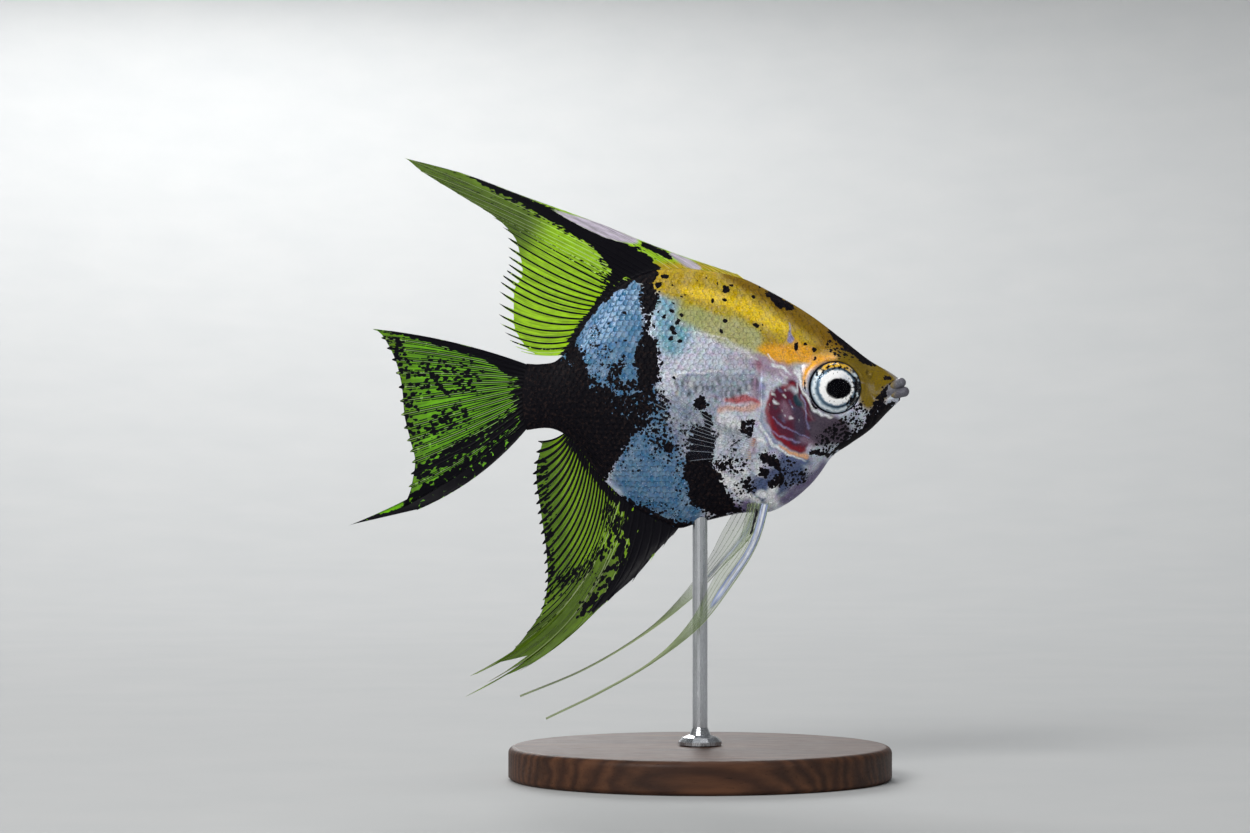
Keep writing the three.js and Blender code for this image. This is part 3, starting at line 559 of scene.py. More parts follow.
def skin_material():
    """Wet skin: silver-blue and gold with fine grain and black koi patches, with painted sparkle, glints, silvery
    reflection and shade at the scale roots.
    """
    n = Nodes("fish_skin")
    place = n.place()
    silver = n.value("silver")
    rise = n.value("rise")
    grain = n.noise(place, 0.2 * MM, 3, 0.65)
    cloud = n.noise(place, 1.3 * MM, 2)
    own = n.add("ShaderNodeHueSaturation")
    n.set(own, "Saturation", 1.28)
    n.set(own, "Value", 0.94)
    n.set(own, "Color", n.colour("tint"))
    own = own.outputs["Color"]
    tint = n.mix(n.ramp(grain, 0.32, 0.62), n.mix(0.42, own, (0.008, 0.008, 0.016)), own)
    hues = n.noise(place, 0.6 * MM, 1, colour=True)
    tint = n.mix(n.math("MULTIPLY", silver, 0.5), tint, hues, "SOFT_LIGHT")
    # Painted reflection: paler clouds over the silver parts of the skin.
    pale = n.math("MULTIPLY", n.ramp(cloud, 0.42, 0.75, 0.0, 0.4), silver)
    tint = n.mix(pale, tint, n.mix(0.5, tint, (0.9, 0.93, 1.0)))
    # Painted shade: each scale is darkened towards its root, where the scale in front overlaps it.
    tint = n.mix(n.ramp(rise, 0.0, 1.0, 0.2, 0.0), tint, (0.01, 0.01, 0.02))
    # Painted glints: on the silver parts, each scale is lifted towards white by its own random strength.
    flash = n.math("MULTIPLY", n.math("MULTIPLY", n.value("flash"), silver), 0.5)
    tint = n.mix(flash, tint, n.mix(0.35, tint, (1.0, 1.0, 1.0)))
    # Painted highlights: tiny white glint specks on the silver parts.
    specks = n.cells(place, 0.17 * MM)
    chosen = n.ramp(n.cells(place, 0.17 * MM, "Color"), 0.74, 0.84)
    glint = n.math("MULTIPLY", n.math("MULTIPLY", n.ramp(specks, 0.4, 0.2), chosen), silver)
    tint = n.mix(n.math("MULTIPLY", glint, 0.75), tint, (0.85, 0.9, 1.0))
    mask = dotted_ink(n, n.value("ink"), place)
    crumbs = n.noise(place, 0.34 * MM, 4, 0.7)
    dark = n.mix(n.ramp(crumbs, 0.5, 0.68), INK, INK_BROWN)
    colour = n.mix(mask, tint, dark)
    clear = n.math("SUBTRACT", 1.0, mask)
    metal = n.math("MULTIPLY", n.math("MULTIPLY", silver, clear), 0.4)
    rough = n.math("ADD", n.ramp(grain, 0.3, 0.7, 0.3, 0.46), n.math("MULTIPLY", mask, 0.12))
    n.surface(Base_Color=colour, Metallic=metal, Roughness=rough, Specular_IOR_Level=0.05,
              Coat_Weight=n.math("MULTIPLY", clear, 0.2), Coat_Roughness=0.1,
              Normal=n.bumped(grain, 0.014 * MM, 0.9))
    return n.material


def fin_material(name, gap, width, second=0.0, ray_half=0.1):
    """A clear membrane on rays, with a black line at each side of a ray and broken black patches."""
    n = Nodes(name)
    lie = n.vector("lie")
    line = n.value("line")
    tint = n.colour("tint")
    streak = n.noise(n.stretched(lie, 2.4, 0.8, 0.0), 1.0, 3)
    broken = n.noise(n.stretched(lie, 1.6, 2.0, 0.0), 1.0, 2)
    fine = n.noise(n.stretched(lie, 1.0, 0.35, 0.0), 0.25, 2)
    thread = n.noise(n.stretched(lie, 5.0, 0.14, 0.0), 1.0, 1)
    aside = n.math("ABSOLUTE", n.math("SUBTRACT", line, gap))
    if second:
        aside = n.math("MINIMUM", aside, n.math("ABSOLUTE", n.math("SUBTRACT", line, second)))
    near = n.ramp(aside, width, width * 0.75)
    kept = n.math("ADD", n.value("ray_ink"), n.math("MULTIPLY", n.math("SUBTRACT", broken, 0.5), 1.7))
    lines = n.math("MULTIPLY", near, n.ramp(kept, 0.45, 0.55))
    dots = n.math("MULTIPLY", n.cells(n.stretched(lie, 3.2, 1.5, 0.0), 1.0), -1.35)
    level = n.math("ADD", n.math("ADD", n.value("ink"), 0.18), dots)
    patch = n.ramp(n.math("ADD", level, n.math("MULTIPLY", n.math("SUBTRACT", streak, 0.5), 1.4)), -0.04, 0.08)
    mask = n.math("MAXIMUM", lines, patch)
    ray = n.ramp(line, 1.2 * ray_half, 0.4 * ray_half)
    shade = n.mix(n.ramp(streak, 0.35, 0.65, 0.0, 0.5), tint, n.mix(0.5, tint, (0.02, 0.03, 0.0)))
    shade = n.mix(n.ramp(thread, 0.44, 0.62, 0.0, 0.6), shade, n.mix(0.6, shade, (0.01, 0.02, 0.0)))
    shade = n.mix(n.math("MULTIPLY", ray, 0.22), shade, (0.85, 0.9, 0.6))
    colour = n.mix(mask, shade, INK)
    clear = n.math("ADD", n.value("body"), n.math("MULTIPLY", ray, n.value("ray_body")))
    alpha = n.math("MAXIMUM", n.math("MULTIPLY", mask, 0.98), clear, clamp=True)
    n.surface(Base_Color=colour, Roughness=n.ramp(fine, 0.3, 0.7, 0.3, 0.45), Alpha=alpha,
              Specular_IOR_Level=0.06, Normal=n.bumped(fine, 0.02 * MM, 0.5))
    return n.material


def eye_material():
    """Silver-ringed iris under the cornea, painted by ring and angle."""
    n = Nodes("iris")
    place = n.place()
    fibre = n.noise(place, 0.12 * MM, 3, 0.6)
    tint = n.colour("tint")
    colour = n.mix(n.ramp(fibre, 0.3, 0.7, 0.0, 0.2), tint, n.mix(0.5, tint, (0.012, 0.014, 0.02)))
    n.surface(Base_Color=colour, Metallic=n.value("silver"), Roughness=0.35, Specular_IOR_Level=0.01,
              Normal=n.bumped(fibre, 0.02 * MM, 0.6))
    return n.material


def cornea_material():
    n = Nodes("cornea")
    clear = n.add("ShaderNodeBsdfTransparent")
    gloss = n.add("ShaderNodeBsdfGlossy")
    n.set(gloss, "Roughness", 0.04)
    edge = n.add("ShaderNodeFresnel")
    n.set(edge, "IOR", 1.38)
    mixed = n.add("ShaderNodeMixShader")
    n.set(mixed, 0, n.math("MULTIPLY", edge.outputs[0], 0.12))
    n.tree.links.new(clear.outputs[0], mixed.inputs[1])
    n.tree.links.new(gloss.outputs[0], mixed.inputs[2])
    n.tree.links.new(mixed.outputs[0], n.output.inputs["Surface"])
    return n.material


def wood_material():
    """Dark walnut under satin lacquer, with the grain along X."""
    n = Nodes("walnut")
    place = n.place()
    flow = n.noise(n.stretched(place, 0.12, 1.0, 1.0), 3.2 * MM, 5, 0.6)
    wave = n.add("ShaderNodeTexWave", wave_type="BANDS", bands_direction="Y")
    n.set(wave, "Vector", n.stretched(place, 0.14, 1.0, 1.0))
    n.set(wave, "Scale", 210.0)
    n.set(wave, "Distortion", 16.0)
    n.set(wave, "Detail", 4.0)
    n.set(wave, "Detail Scale", 0.6)
    pores = n.noise(n.stretched(place, 0.08, 1.0, 1.0), 0.22 * MM, 3, 0.7)
    colour = n.mix(wave.outputs["Fac"], srgb(58, 35, 24), srgb(88, 56, 37))
    colour = n.mix(n.ramp(flow, 0.35, 0.7, 0.0, 0.7), colour, srgb(38, 22, 15))
    colour = n.mix(n.ramp(pores, 0.6, 0.72, 0.0, 0.7), colour, srgb(20, 12, 9))
    n.surface(Base_Color=colour, Roughness=n.ramp(pores, 0.3, 0.7, 0.5, 0.68), Specular_IOR_Level=0.2,
              Coat_Weight=0.06, Coat_Roughness=0.35, Normal=n.bumped(pores, 0.02 * MM, 0.6))
    return n.material


def steel_material():
    n = Nodes("brushed_steel")
    place = n.place()
    hair = n.noise(n.stretched(place, 1.0, 1.0, 0.04), 0.06 * MM, 3)
    stain = n.noise(place, 3 * MM, 2)
    colour = n.mix(stain, srgb(176, 178, 182), srgb(204, 206, 210))
    n.surface(Base_Color=colour, Metallic=1.0, Roughness=n.ramp(hair, 0.3, 0.7, 0.2, 0.36),
              Normal=n.bumped(hair, 0.006 * MM, 0.5))
    return n.material


def floor_material():
    n = Nodes("pale_floor")
    grain = n.noise(n.place(), 0.02, 3)
    n.surface(Base_Color=n.mix(grain, srgb(172, 174, 175), srgb(180, 181, 181)), Roughness=0.8, Specular_IOR_Level=0.2,
              Normal=n.bumped(grain, 0.0002, 0.2))
    return n.material


# ------------------------------------------------------------------ the skin

SECTION_STEPS = 150
RINGS = (156, 124, 38)


def ring_edges(v):
    """The skin is laid out between four edges: mouth, gill opening, tail stalk, tail fin."""
    return [np.full_like(v, SKIN_START), gill_edge(v), np.full_like(v, TAIL_PLANE), caudal_edge(v)]


def eye_reach(back, up):
    return np.hypot(back - EYE["back"], up - EYE["up"])


def socket(back, side, up):
    """Lifts the skin into a rim round the eye and sinks it under the eyeball."""
    reach = eye_reach(back, up)
    plane = EYE["side"] + 0.62 + math.tan(EYE["yaw"]) * (back - EYE["back"])
    rim = np.where(reach < EYE["seen"], plane - 1.3 * (EYE["seen"] - reach), plane)
    blend = np.where(reach < EYE["seen"], 1.0, 1 - smooth(reach, EYE["seen"], EYE["seen"] + 1.7))
    return lerp(side, rim, blend)


def relief(back, v, side, up):
    """How far the skin stands out from the plain flank."""
    out = np.zeros_like(back)
    behind = back - gill_edge(v)
    along = smooth(v, -0.98, -0.7) * (1 - smooth(v, -0.05, 0.3))
    cover = np.where(behind < 0, 0.17 * smooth(behind, -5.0, 0.0), -0.08 * np.exp(-behind / 0.5))
    out += along * np.where(behind < -0.001, cover, np.where(behind < 0.05, 0.05, cover))
    cheek = [[(13.0, 3.0, 0), (12.8, 0.6, 0), (12.4, -1.8, 0), (11.0, -4.2, 0), (8.6, -5.4, 0), (5.4, -4.2, 0)]]
    out -= 0.09 * bump(-stroke_depth(back, up, cheek), 0, 0.28)
    jaw = [[(2.0, -0.6, 0), (3.2, -1.2, 0), (4.0, -2.6, 0), (4.3, -3.9, 0)]]
    out -= 0.1 * bump(-stroke_depth(back, up, jaw), 0, 0.22)
    brow = [[(5.4, 1.6, 0), (4.0, 1.0, 0), (2.6, 0.8, 0)]]
    out += 0.06 * bump(-stroke_depth(back, up, brow), 0, 0.5)
    nostril = np.hypot(back - 4.9, up - 2.1)
    out += 0.07 * bump(nostril, 0.42, 0.16) - 0.22 * bump(nostril, 0, 0.24)
    rim = eye_reach(back, up) - EYE["seen"]
    out += 0.1 * bump(rim, 0.22, 0.2)
    lateral = [[(29.4, 1.7, 0), (25.5, 2.2, 0), (18.4, 2.3, 0)], [(27, 7.0, 0), (22.6, 6.5, 0), (18.2, 3.6, 0)],
               [(14.1, 8.3, 0), (14.0, 6.0, 0)]]
    out += 0.05 * bump(-stroke_depth(back, up, lateral), 0, 0.14)
    out += 0.35 * bump(np.hypot(back - 18.8, (up + 7.1) * 0.7), 0, 0.9)
    out += 0.3 * bump(np.hypot((back - 17.4), (up + 13.0)), 0, 1.3)
    keel = smooth(v, 0.94, 1.0) * smooth(back, 18.5, 22) + smooth(-v, 0.94, 1.0) * smooth(back, 26, 28.5)
    out += 0.16 * keel * (1 - smooth(back, 41.0, 42.5))
    ribs = np.sin(2.1 * back + 0.25 * up) * bump(back, 24, 5) * bump(up, -2, 5)
    return out + 0.012 * ribs


def grid_normals(grid):
    """Normals of a grid of places whose columns wrap round."""
    down = np.gradient(grid, axis=0)
    wrapped = np.concatenate([grid[:, -1:], grid, grid[:, :1]], axis=1)
    across = (wrapped[:, 2:] - wrapped[:, :-2]) / 2
    normal = np.cross(down, across)
    normal /= np.maximum(np.linalg.norm(normal, axis=-1, keepdims=True), 1e-9)
    middle = grid.mean(axis=1, keepdims=True)
    outward = np.einsum("ijk,ijk->ij", normal, grid - middle) > 0
    return normal if outward.mean() > 0.5 else -normal


def skin_grid():
    """Places on the skin, [rings, round, 3]: up the right flank and down the left."""
    steps = np.linspace(0, 1, SECTION_STEPS + 1)
    v_up = lerp(2 * steps - 1, -np.cos(np.pi * steps), 0.4)
    v = np.concatenate([v_up, v_up[1:-1][::-1]])
    hand = np.concatenate([np.full(SECTION_STEPS + 1, RIGHT), np.full(SECTION_STEPS - 1, LEFT)])
    edges = ring_edges(v)
    rings = []
    for k, count in enumerate(RINGS):
        last = k == len(RINGS) - 1
        for u in np.linspace(0, 1, count + 1)[: None if last else -1]:
            rings.append(lerp(edges[k], edges[k + 1], u))
    back = np.array(rings)
    v = np.broadcast_to(v, back.shape)
    side, up = flank(back, v)
    side = socket(back, side, up)
    plain = np.stack([back, side * hand, up], -1)
    normal = grid_normals(plain)
    return plain + normal * relief(back, v, side, up)[..., None], normal


SKIN, SKIN_NORMAL = skin_grid()


def on_skin(back, v, hand):
    """Place and normal on the finished skin, for arrays of places on one flank."""
    edges = ring_edges(v)
    ring = np.zeros_like(back)
    start = 0
    for k, count in enumerate(RINGS):
        u = (back - edges[k]) / (edges[k + 1] - edges[k])
        ring = np.where(u >= 0, start + np.clip(u, 0, 1) * count, ring)
        start += count
    steps = np.linspace(0, 1, SECTION_STEPS + 1)
    v_up = lerp(2 * steps - 1, -np.cos(np.pi * steps), 0.4)
    column = np.interp(v, v_up, np.arange(SECTION_STEPS + 1))
    if hand == LEFT:
        column = (2 * SECTION_STEPS - column) % (2 * SECTION_STEPS)
    i = np.clip(np.floor(ring).astype(int), 0, len(SKIN) - 2)
    j = np.floor(column).astype(int) % (2 * SECTION_STEPS)
    k = (j + 1) % (2 * SECTION_STEPS)
    u, w = (ring - i)[..., None], (column - np.floor(column))[..., None]
    out = []
    for grid in (SKIN, SKIN_NORMAL):
        low = lerp(grid[i, j], grid[i, k], w)
        high = lerp(grid[i + 1, j], grid[i + 1, k], w)
        out.append(lerp(low, high, u))
    return out[0], out[1], ring / sum(RINGS), column / (2 * SECTION_STEPS)


def tube(path, radii, around=16, flatten=1.0):
    """A closed tube along a path of places: its places and quads."""
    path = np.asarray(path, float)
    ahead = np.gradient(path, axis=0)
    ahead /= np.linalg.norm(ahead, axis=1, keepdims=True)
    up = np.array([0.0, 0.0, 1.0])
    across = np.cross(ahead, up)
    across /= np.maximum(np.linalg.norm(across, axis=1, keepdims=True), 1e-9)
    over = np.cross(across, ahead)
    turn = np.linspace(0, 2 * np.pi, around, endpoint=False)
    ring = np.cos(turn)[None, :, None] * across[:, None] * flatten + np.sin(turn)[None, :, None] * over[:, None]
    places = path[:, None] + ring * np.asarray(radii)[:, None, None]
    count = len(path)
    faces = [grid_faces(count, around, wrap=True)]
    caps = np.concatenate([places.reshape(-1, 3), path[:1], path[-1:]])
    j = np.arange(around)
    k = (j + 1) % around
    first, last = count * around, count * around + 1
    faces.append(np.stack([k, j, np.full(around, first), np.full(around, first)], 1))
    base = (count - 1) * around
    faces.append(np.stack([base + j, base + k, np.full(around, last), np.full(around, last)], 1))
    return caps, np.concatenate(faces)


def lips():
    """Two soft lips round the mouth, each a swept fold from corner to corner."""
    upper = [(3.1, -0.9, 0.2, 0.2), (2.1, -0.98, 0.5, 0.46), (1.15, -0.68, 0.88, 0.57), (0.84, 0, 0.98, 0.57)]
    lower = [(3.0, -0.9, -0.75, 0.2), (1.8, -0.92, -0.5, 0.48), (0.8, -0.6, -0.2, 0.6), (0.5, 0, -0.12, 0.62)]
    made = []
    for right_half in (upper, lower):
        left_half = [(b, -s, u, r) for b, s, u, r in right_half[-2::-1]]
        stations = right_half + left_half
        curves = [through([(k, station[axis]) for k, station in enumerate(stations)]) for axis in range(4)]
        t = np.linspace(0, len(stations) - 1, 49)
        path = np.stack([curve(t) for curve in curves[:3]], 1)
        made.append(tube(path, curves[3](t), around=20))
    return made


def whole_skin(material):
    """Body skin and lips as one piece."""
    rows, columns = SKIN.shape[:2]
    faces = [grid_faces(rows, columns, wrap=True)]
    half = SECTION_STEPS
    for ring, flip in ((0, True), (rows - 1, False)):
        k = np.arange(half)
        base = ring * columns
        cap = np.stack([base + k, base + k + 1, base + (columns - k - 1) % columns, base + (columns - k) % columns], 1)
        faces.append(cap[:, ::-1] if flip else cap)
    places = [SKIN.reshape(-1, 3)]
    data = markings(SKIN[..., 0], SKIN[..., 1], SKIN[..., 2])
    data = {key: value.reshape(rows * columns, -1).squeeze() for key, value in data.items()}
    # Painted shade: the front cap inside the lips, where the mouth opens, is painted solid black.
    front = SKIN[..., 0].ravel() < SKIN_START + 0.2
    data["ink"][front] = 1.0
    # The skin itself gets no painted root shade.
    data["rise"] = np.ones(rows * columns)
    # The skin itself gets a steady middle strength of painted glint.
    data["flash"] = np.full(rows * columns, 0.4)
    i, j = np.meshgrid(np.arange(rows - 1), np.arange(columns), indexing="ij")
    i, j = i.ravel(), j.ravel()
    corner = lambda di, dj: np.stack([(i + di) / (rows - 1), (j + dj) / columns], 1)
    uv = [np.stack([corner(0, 0), corner(0, 1), corner(1, 1), corner(1, 0)], 1)]
    uv.append(np.full((2 * half, 4, 2), 0.001))
    start = rows * columns
    for lip_places, lip_faces in lips():
        places.append(lip_places)
        faces.append(lip_faces + start)
        start += len(lip_places)
        tint = np.empty((len(lip_places), 3))
        grey = smooth(lip_places[:, 0], 2.4, 1.4)[:, None]
        tint[:] = lerp(np.array(OLIVE), np.array(LIP_GREY), grey)
        data["tint"] = np.concatenate([data["tint"], tint])
        data["ink"] = np.concatenate([data["ink"], np.full(len(lip_places), -2.0)])
        data["silver"] = np.concatenate([data["silver"], np.full(len(lip_places), 0.15)])
        data["rise"] = np.concatenate([data["rise"], np.ones(len(lip_places))])
        data["flash"] = np.concatenate([data["flash"], np.full(len(lip_places), 0.4)])
        uv.append(np.full((len(lip_faces), 4, 2), 0.002) + np.random.default_rng(1).random((len(lip_faces), 4, 2)) * 1e-3)
    return piece("skin", np.concatenate(places), np.concatenate(faces), material, "skin", data, np.concatenate(uv))


# ------------------------------------------------------------------ scales

SCALE = dict(length=0.74, row=0.64, lift=0.032, sink=0.035, columns=6, rows=4)


def scale_roots(hand, seed):
    """Roots of the overlapping scales of one flank: back and v."""
    draw = np.random.default_rng(seed)
    roots = []
    for row in range(60):
        height = -16.4 + row * SCALE["row"]
        offset = 0.5 * (row % 2)
        for k in range(60):
            back = 9.0 + (k + offset) * SCALE["length"] + 0.05 * draw.standard_normal()
            up = height + 0.04 * draw.standard_normal() + 0.04 * (back - 25) * np.sin(height / 6)
            size = 0.55 + 0.45 * smooth(back, 11, 20) - 0.25 * smooth(back, 36, 44)
            if not 9.5 < back < 44.8:
                continue
            v = section_place(back, up)
            if abs(v) > 0.955:
                continue
            behind_gill = back > gill_edge(v) + 0.3
            on_nape = v > 0.46 and eye_reach(back, up) > 4.6
            if behind_gill or on_nape:
                roots.append((back, float(v), float(size), draw.random()))
    return np.array(roots)


def scales(name, hand, material):
    """Low overlapping scales: each rises from its root to a round rear edge and is closed below."""
    roots = scale_roots(hand, 11 if hand == RIGHT else 12)
    across = np.linspace(-1, 1, SCALE["columns"] + 1)
    down = np.linspace(0, 1, SCALE["rows"] + 1)
    count = len(roots)
    u, w = np.meshgrid(across, down, indexing="ij")
    u, w = u[None], w[None]
    root_back, root_v, size = (roots[:, k][:, None, None] for k in range(3))
    round_edge = np.sqrt(np.clip(1 - (0.93 * u) ** 2, 0, 1))
    reach = SCALE["length"] * size * (0.15 + (0.35 + 0.85 * round_edge) * w - 0.15 * (1 - w))
    half = 0.56 * SCALE["length"] * size
    back = root_back + reach
    height = (back_line(back) - belly_line(back)) / 2
    v = np.clip(root_v + u * half * (1 - 0.12 * (1 - w)) / height, -0.995, 0.995)
    place, normal, ring, column = on_skin(back, v, hand)
    lift = (-SCALE["sink"] + (SCALE["lift"] + SCALE["sink"]) * w) * np.ones_like(back)
    lift *= 1 - 0.45 * u * u
    top = place + normal * lift[..., None]
    base = place - normal * (SCALE["sink"] + 0.05)
    points, faces, data_places = [], [], []
    plate, quads = sandwich(top[0], base[0])
    all_points = np.concatenate([top.reshape(count, -1, 3), base.reshape(count, -1, 3)], axis=1)
    per = all_points.shape[1]
    faces = (quads[None] + per * np.arange(count)[:, None, None]).reshape(-1, 4)
    p = all_points[:, quads]
    points = all_points.reshape(-1, 3)
    data = markings(points[:, 0], points[:, 1], points[:, 2])
    # Each scale gets a random strength of painted glint.
    data["flash"] = np.repeat(roots[:, 3], per)
    # rise runs from 0 at a scale's root to 1 at its rear edge and sets the painted shade at the root.
    data["rise"] = np.tile(np.broadcast_to(w, (1,) + u.shape[1:]).ravel(), 2 * count)
    root_place, _, root_ring, root_column = on_skin(roots[:, 0], roots[:, 1], hand)
    if hand == LEFT:
        root_column = 1 - root_column
    centre = np.stack([root_ring, np.clip(root_column * 2, 0.0, 1.0)], 1)
    local = np.stack([np.broadcast_to(w, (1,) + u.shape[1:]), np.broadcast_to(u / 2 + 0.5, (1,) + u.shape[1:])], -1)
    patch = 0.003 * local.reshape(-1, 2)
    patch = np.concatenate([patch, patch])
    uv_points = centre[:, None] * 0.99 + 0.003 + patch[None]
    uv = uv_points.reshape(-1, 2)[faces]
    return piece(name, points, faces, material, "skin", data, uv)


# ------------------------------------------------------------------ fins

def on_back(back):
    return (back, float(back_line(back)) + 0.02)


def on_belly(back):
    return (back, float(belly_line(back)) - 0.02)


def on_tail(up):
    return (float(caudal_edge((up + 0.75) / 4.05)) - 0.1, up)


DORSAL = [
    (0, on_back(19.7), (20.6, 14.1), 0), (3, on_back(22.0), (25.0, 15.5), 0.1),
    (6, on_back(24.6), (30.4, 17.4), 0.2), (9, on_back(27.6), (37.0, 20.1), 0.3),
    (11, on_back(29.6), (46.7, 23.6), 0.5), (12, on_back(30.5), (54.0, 26.3), 0.6),
    (13, on_back(31.4), (60.5, 28.0), 0.7), (14, on_back(32.0), (58.6, 26.4), 0.6),
    (16, on_back(33.2), (54.2, 23.7), 0.3), (19, on_back(34.7), (49.9, 20.9), 0),
    (21, on_back(35.6), (48.1, 18.4), -0.4), (24, on_back(36.8), (48.0, 15.2), -0.7),
    (27, on_back(38.0), (49.0, 13.1), -0.9), (30, on_back(39.3), (49.2, 9.2), -1.0),
    (33, on_back(40.5), (47.9, 6.1), -0.7), (35, on_back(41.3), (46.5, 4.7), -0.3),
]
ANAL = [
    (0, on_belly(27.5), (28.3, -17.4), 0), (1, on_belly(28.5), (29.5, -18.8), -0.2),
    (2, on_belly(29.6), (31.0, -20.5), -0.4), (3, on_belly(30.6), (33.2, -23.0), -0.6),
    (4, on_belly(31.5), (36.2, -25.4), -1.1), (5, on_belly(32.2), (41.6, -29.9), -2.2),
    (6, on_belly(32.8), (46.9, -33.7), -3.1), (7, on_belly(33.4), (53.2, -36.7), -3.7),
    (8, on_belly(34.0), (50.6, -35.0), -3.5), (9, on_belly(34.5), (52.6, -34.2), -3.3),
    (10, on_belly(35.0), (49.1, -32.6), -3.0), (12, on_belly(35.8), (45.8, -29.0), -2.4),
    (14, on_belly(36.5), (44.1, -26.2), -1.9), (17, on_belly(37.5), (43.6, -23.0), -1.5),
    (20, on_belly(38.4), (43.8, -19.6), -1.2), (24, on_belly(39.5), (44.5, -14.8), -0.9),
    (28, on_belly(40.5), (45.1, -10.0), -0.6), (31, on_belly(41.3), (44.4, -6.0), -0.3),
]
CAUDAL = [
    (0, on_tail(3.15), (64.2, 7.4), 0.6), (1, on_tail(2.7), (63.2, 6.3), 0.5),
    (3, on_tail(1.9), (61.9, 3.7), 0.3), (5, on_tail(1.1), (61.1, 0.4), 0.1),
    (7, on_tail(0.2), (60.8, -2.9), 0), (9, on_tail(-0.8), (60.1, -6.0), -0.2),
    (11, on_tail(-1.8), (59.5, -8.6), -0.4), (13, on_tail(-2.8), (59.9, -11.5), -0.7),
    (14, on_tail(-3.3), (60.9, -13.9), -0.8), (15, on_tail(-3.9), (67.2, -16.2), -0.9),
    (16, on_tail(-4.55), (58.9, -14.3), -1.0),
]
PECTORAL = [
    (0, (18.4, -5.8), (30.4, 1.0), -0.5), (3, (18.6, -6.4), (30.4, -1.6), -0.3),
    (6, (18.8, -7.1), (29.6, -4.0), -0.1), (8, (18.9, -7.6), (28.5, -5.9), 0),
    (10, (19.0, -8.2), (26.3, -8.4), 0.2),
]


class RayFin:
    """A fin of rays between guides (ray number, root, tip, bow), as in the solids."""

    def __init__(self, guides, lean):
        pick = lambda part: through([(g[0], part(g)) for g in guides], taut=True)
        self.root = (pick(lambda g: g[1][0]), pick(lambda g: g[1][1]))
        self.tip = (pick(lambda g: g[2][0]), pick(lambda g: g[2][1]))
        self.bow = pick(lambda g: g[3])
        self.rays = guides[-1][0] + 1
        self.lean = lean

    def length(self, ray):
        return np.hypot(self.tip[0](ray) - self.root[0](ray), self.tip[1](ray) - self.root[1](ray))

    def place(self, ray, t):
        root_back, root_up = self.root[0](ray), self.root[1](ray)
        run_back, run_up = self.tip[0](ray) - root_back, self.tip[1](ray) - root_up
        off = 4 * self.bow(ray) * t * (1 - t) / np.hypot(run_back, run_up)
        back = root_back + run_back * t - run_up * off
        up = root_up + run_up * t + run_back * off
        return np.stack([back, self.lean(ray, t, up), up], -1)


def fin_mesh(name, fin, paint, material, slot, notch, soft_from=0, per_ray=10, rows=70, thin=0.035, ridge=0.09,
             root_half=0.22, stout=1.0, branch_gap=0.16):
    """One fin: a thin closed membrane with a raised, branching ridge along every ray."""
    last = fin.rays - 1
    ray = np.linspace(0, last, last * per_ray + 1)
    share = np.abs(ray - np.round(ray))
    length = fin.length(ray)
    far = fin.place(np.clip(ray + 0.5, 0, last), 0.9) - fin.place(np.clip(ray - 0.5, 0, last), 0.9)
    from_tip = share * np.linalg.norm(far, axis=1)
    fall = smooth(from_tip, 0.04, 0.24)
    reach = 1 - np.minimum(notch(ray) * fall / length, 0.35)
    steps = np.linspace(0, 1, rows + 1)
    rays, t = np.meshgrid(ray, steps, indexing="ij")
    t = t * reach[:, None]
    middle = fin.place(rays, t)
    apart = fin.place(np.clip(rays + 0.5, 0, last), t) - fin.place(np.clip(rays - 0.5, 0, last), t)
    spacing = np.linalg.norm(apart, axis=-1)
    line = share[:, None] * spacing
    soft = smooth(rays, soft_from - 0.5, soft_from + 0.5)
    split = soft * smooth(t, 0.45, 0.75) * np.minimum(branch_gap, spacing * 0.24)
    width = 0.085 * stout * (1 - 0.45 * t)
    crest = np.exp(-((line - split) / width) ** 2)
    along = t * length[:, None]
    joints = 1 - 0.18 * soft * (0.5 + 0.5 * np.cos(2 * np.pi * along / 0.55)) ** 4
    half = thin + ridge * stout * (1 - 0.6 * t) * crest * joints
    half += (root_half - thin) * np.exp(-along / 1.1)
    half = np.minimum(half, 0.3)
    front, rear = middle.copy(), middle.copy()
    front[..., 1] -= half
    rear[..., 1] += half
    places, faces = sandwich(front, rear)
    data = paint(rays, t, middle[..., 0], middle[..., 2], along)
    data["line"] = line
    data["lie"] = np.stack([rays, along, line], -1)
    data = {key: np.concatenate([v.reshape(-1, *v.shape[2:])] * 2) for key, v in data.items()}
    return piece(name, places, faces, material, slot, data)


MEMBRANE = srgb(166, 218, 20)
CAUDAL_GREEN = srgb(110, 184, 6)
ANAL_GREEN = srgb(128, 172, 8)
DEEP_MEMBRANE = srgb(92, 132, 0)
STREAMER = srgb(84, 112, 20)
CLEAR = srgb(222, 230, 238)
PINK_WHITE = srgb(206, 196, 214)
PECTORAL_GREY = srgb(136, 148, 184)
PELVIC_BLUE = srgb(160, 174, 222)
PELVIC_GREEN = srgb(112, 136, 78)


def painted(base, coats, back, up):
    tint = np.empty(np.shape(back) + (3,))
    tint[...] = base
    for colour, softness, strokes in coats:
        cover = smooth(stroke_depth(back, up, strokes), -softness / 2, softness / 2)
        tint = lerp(tint, np.array(colour), cover[..., None])
    return tint


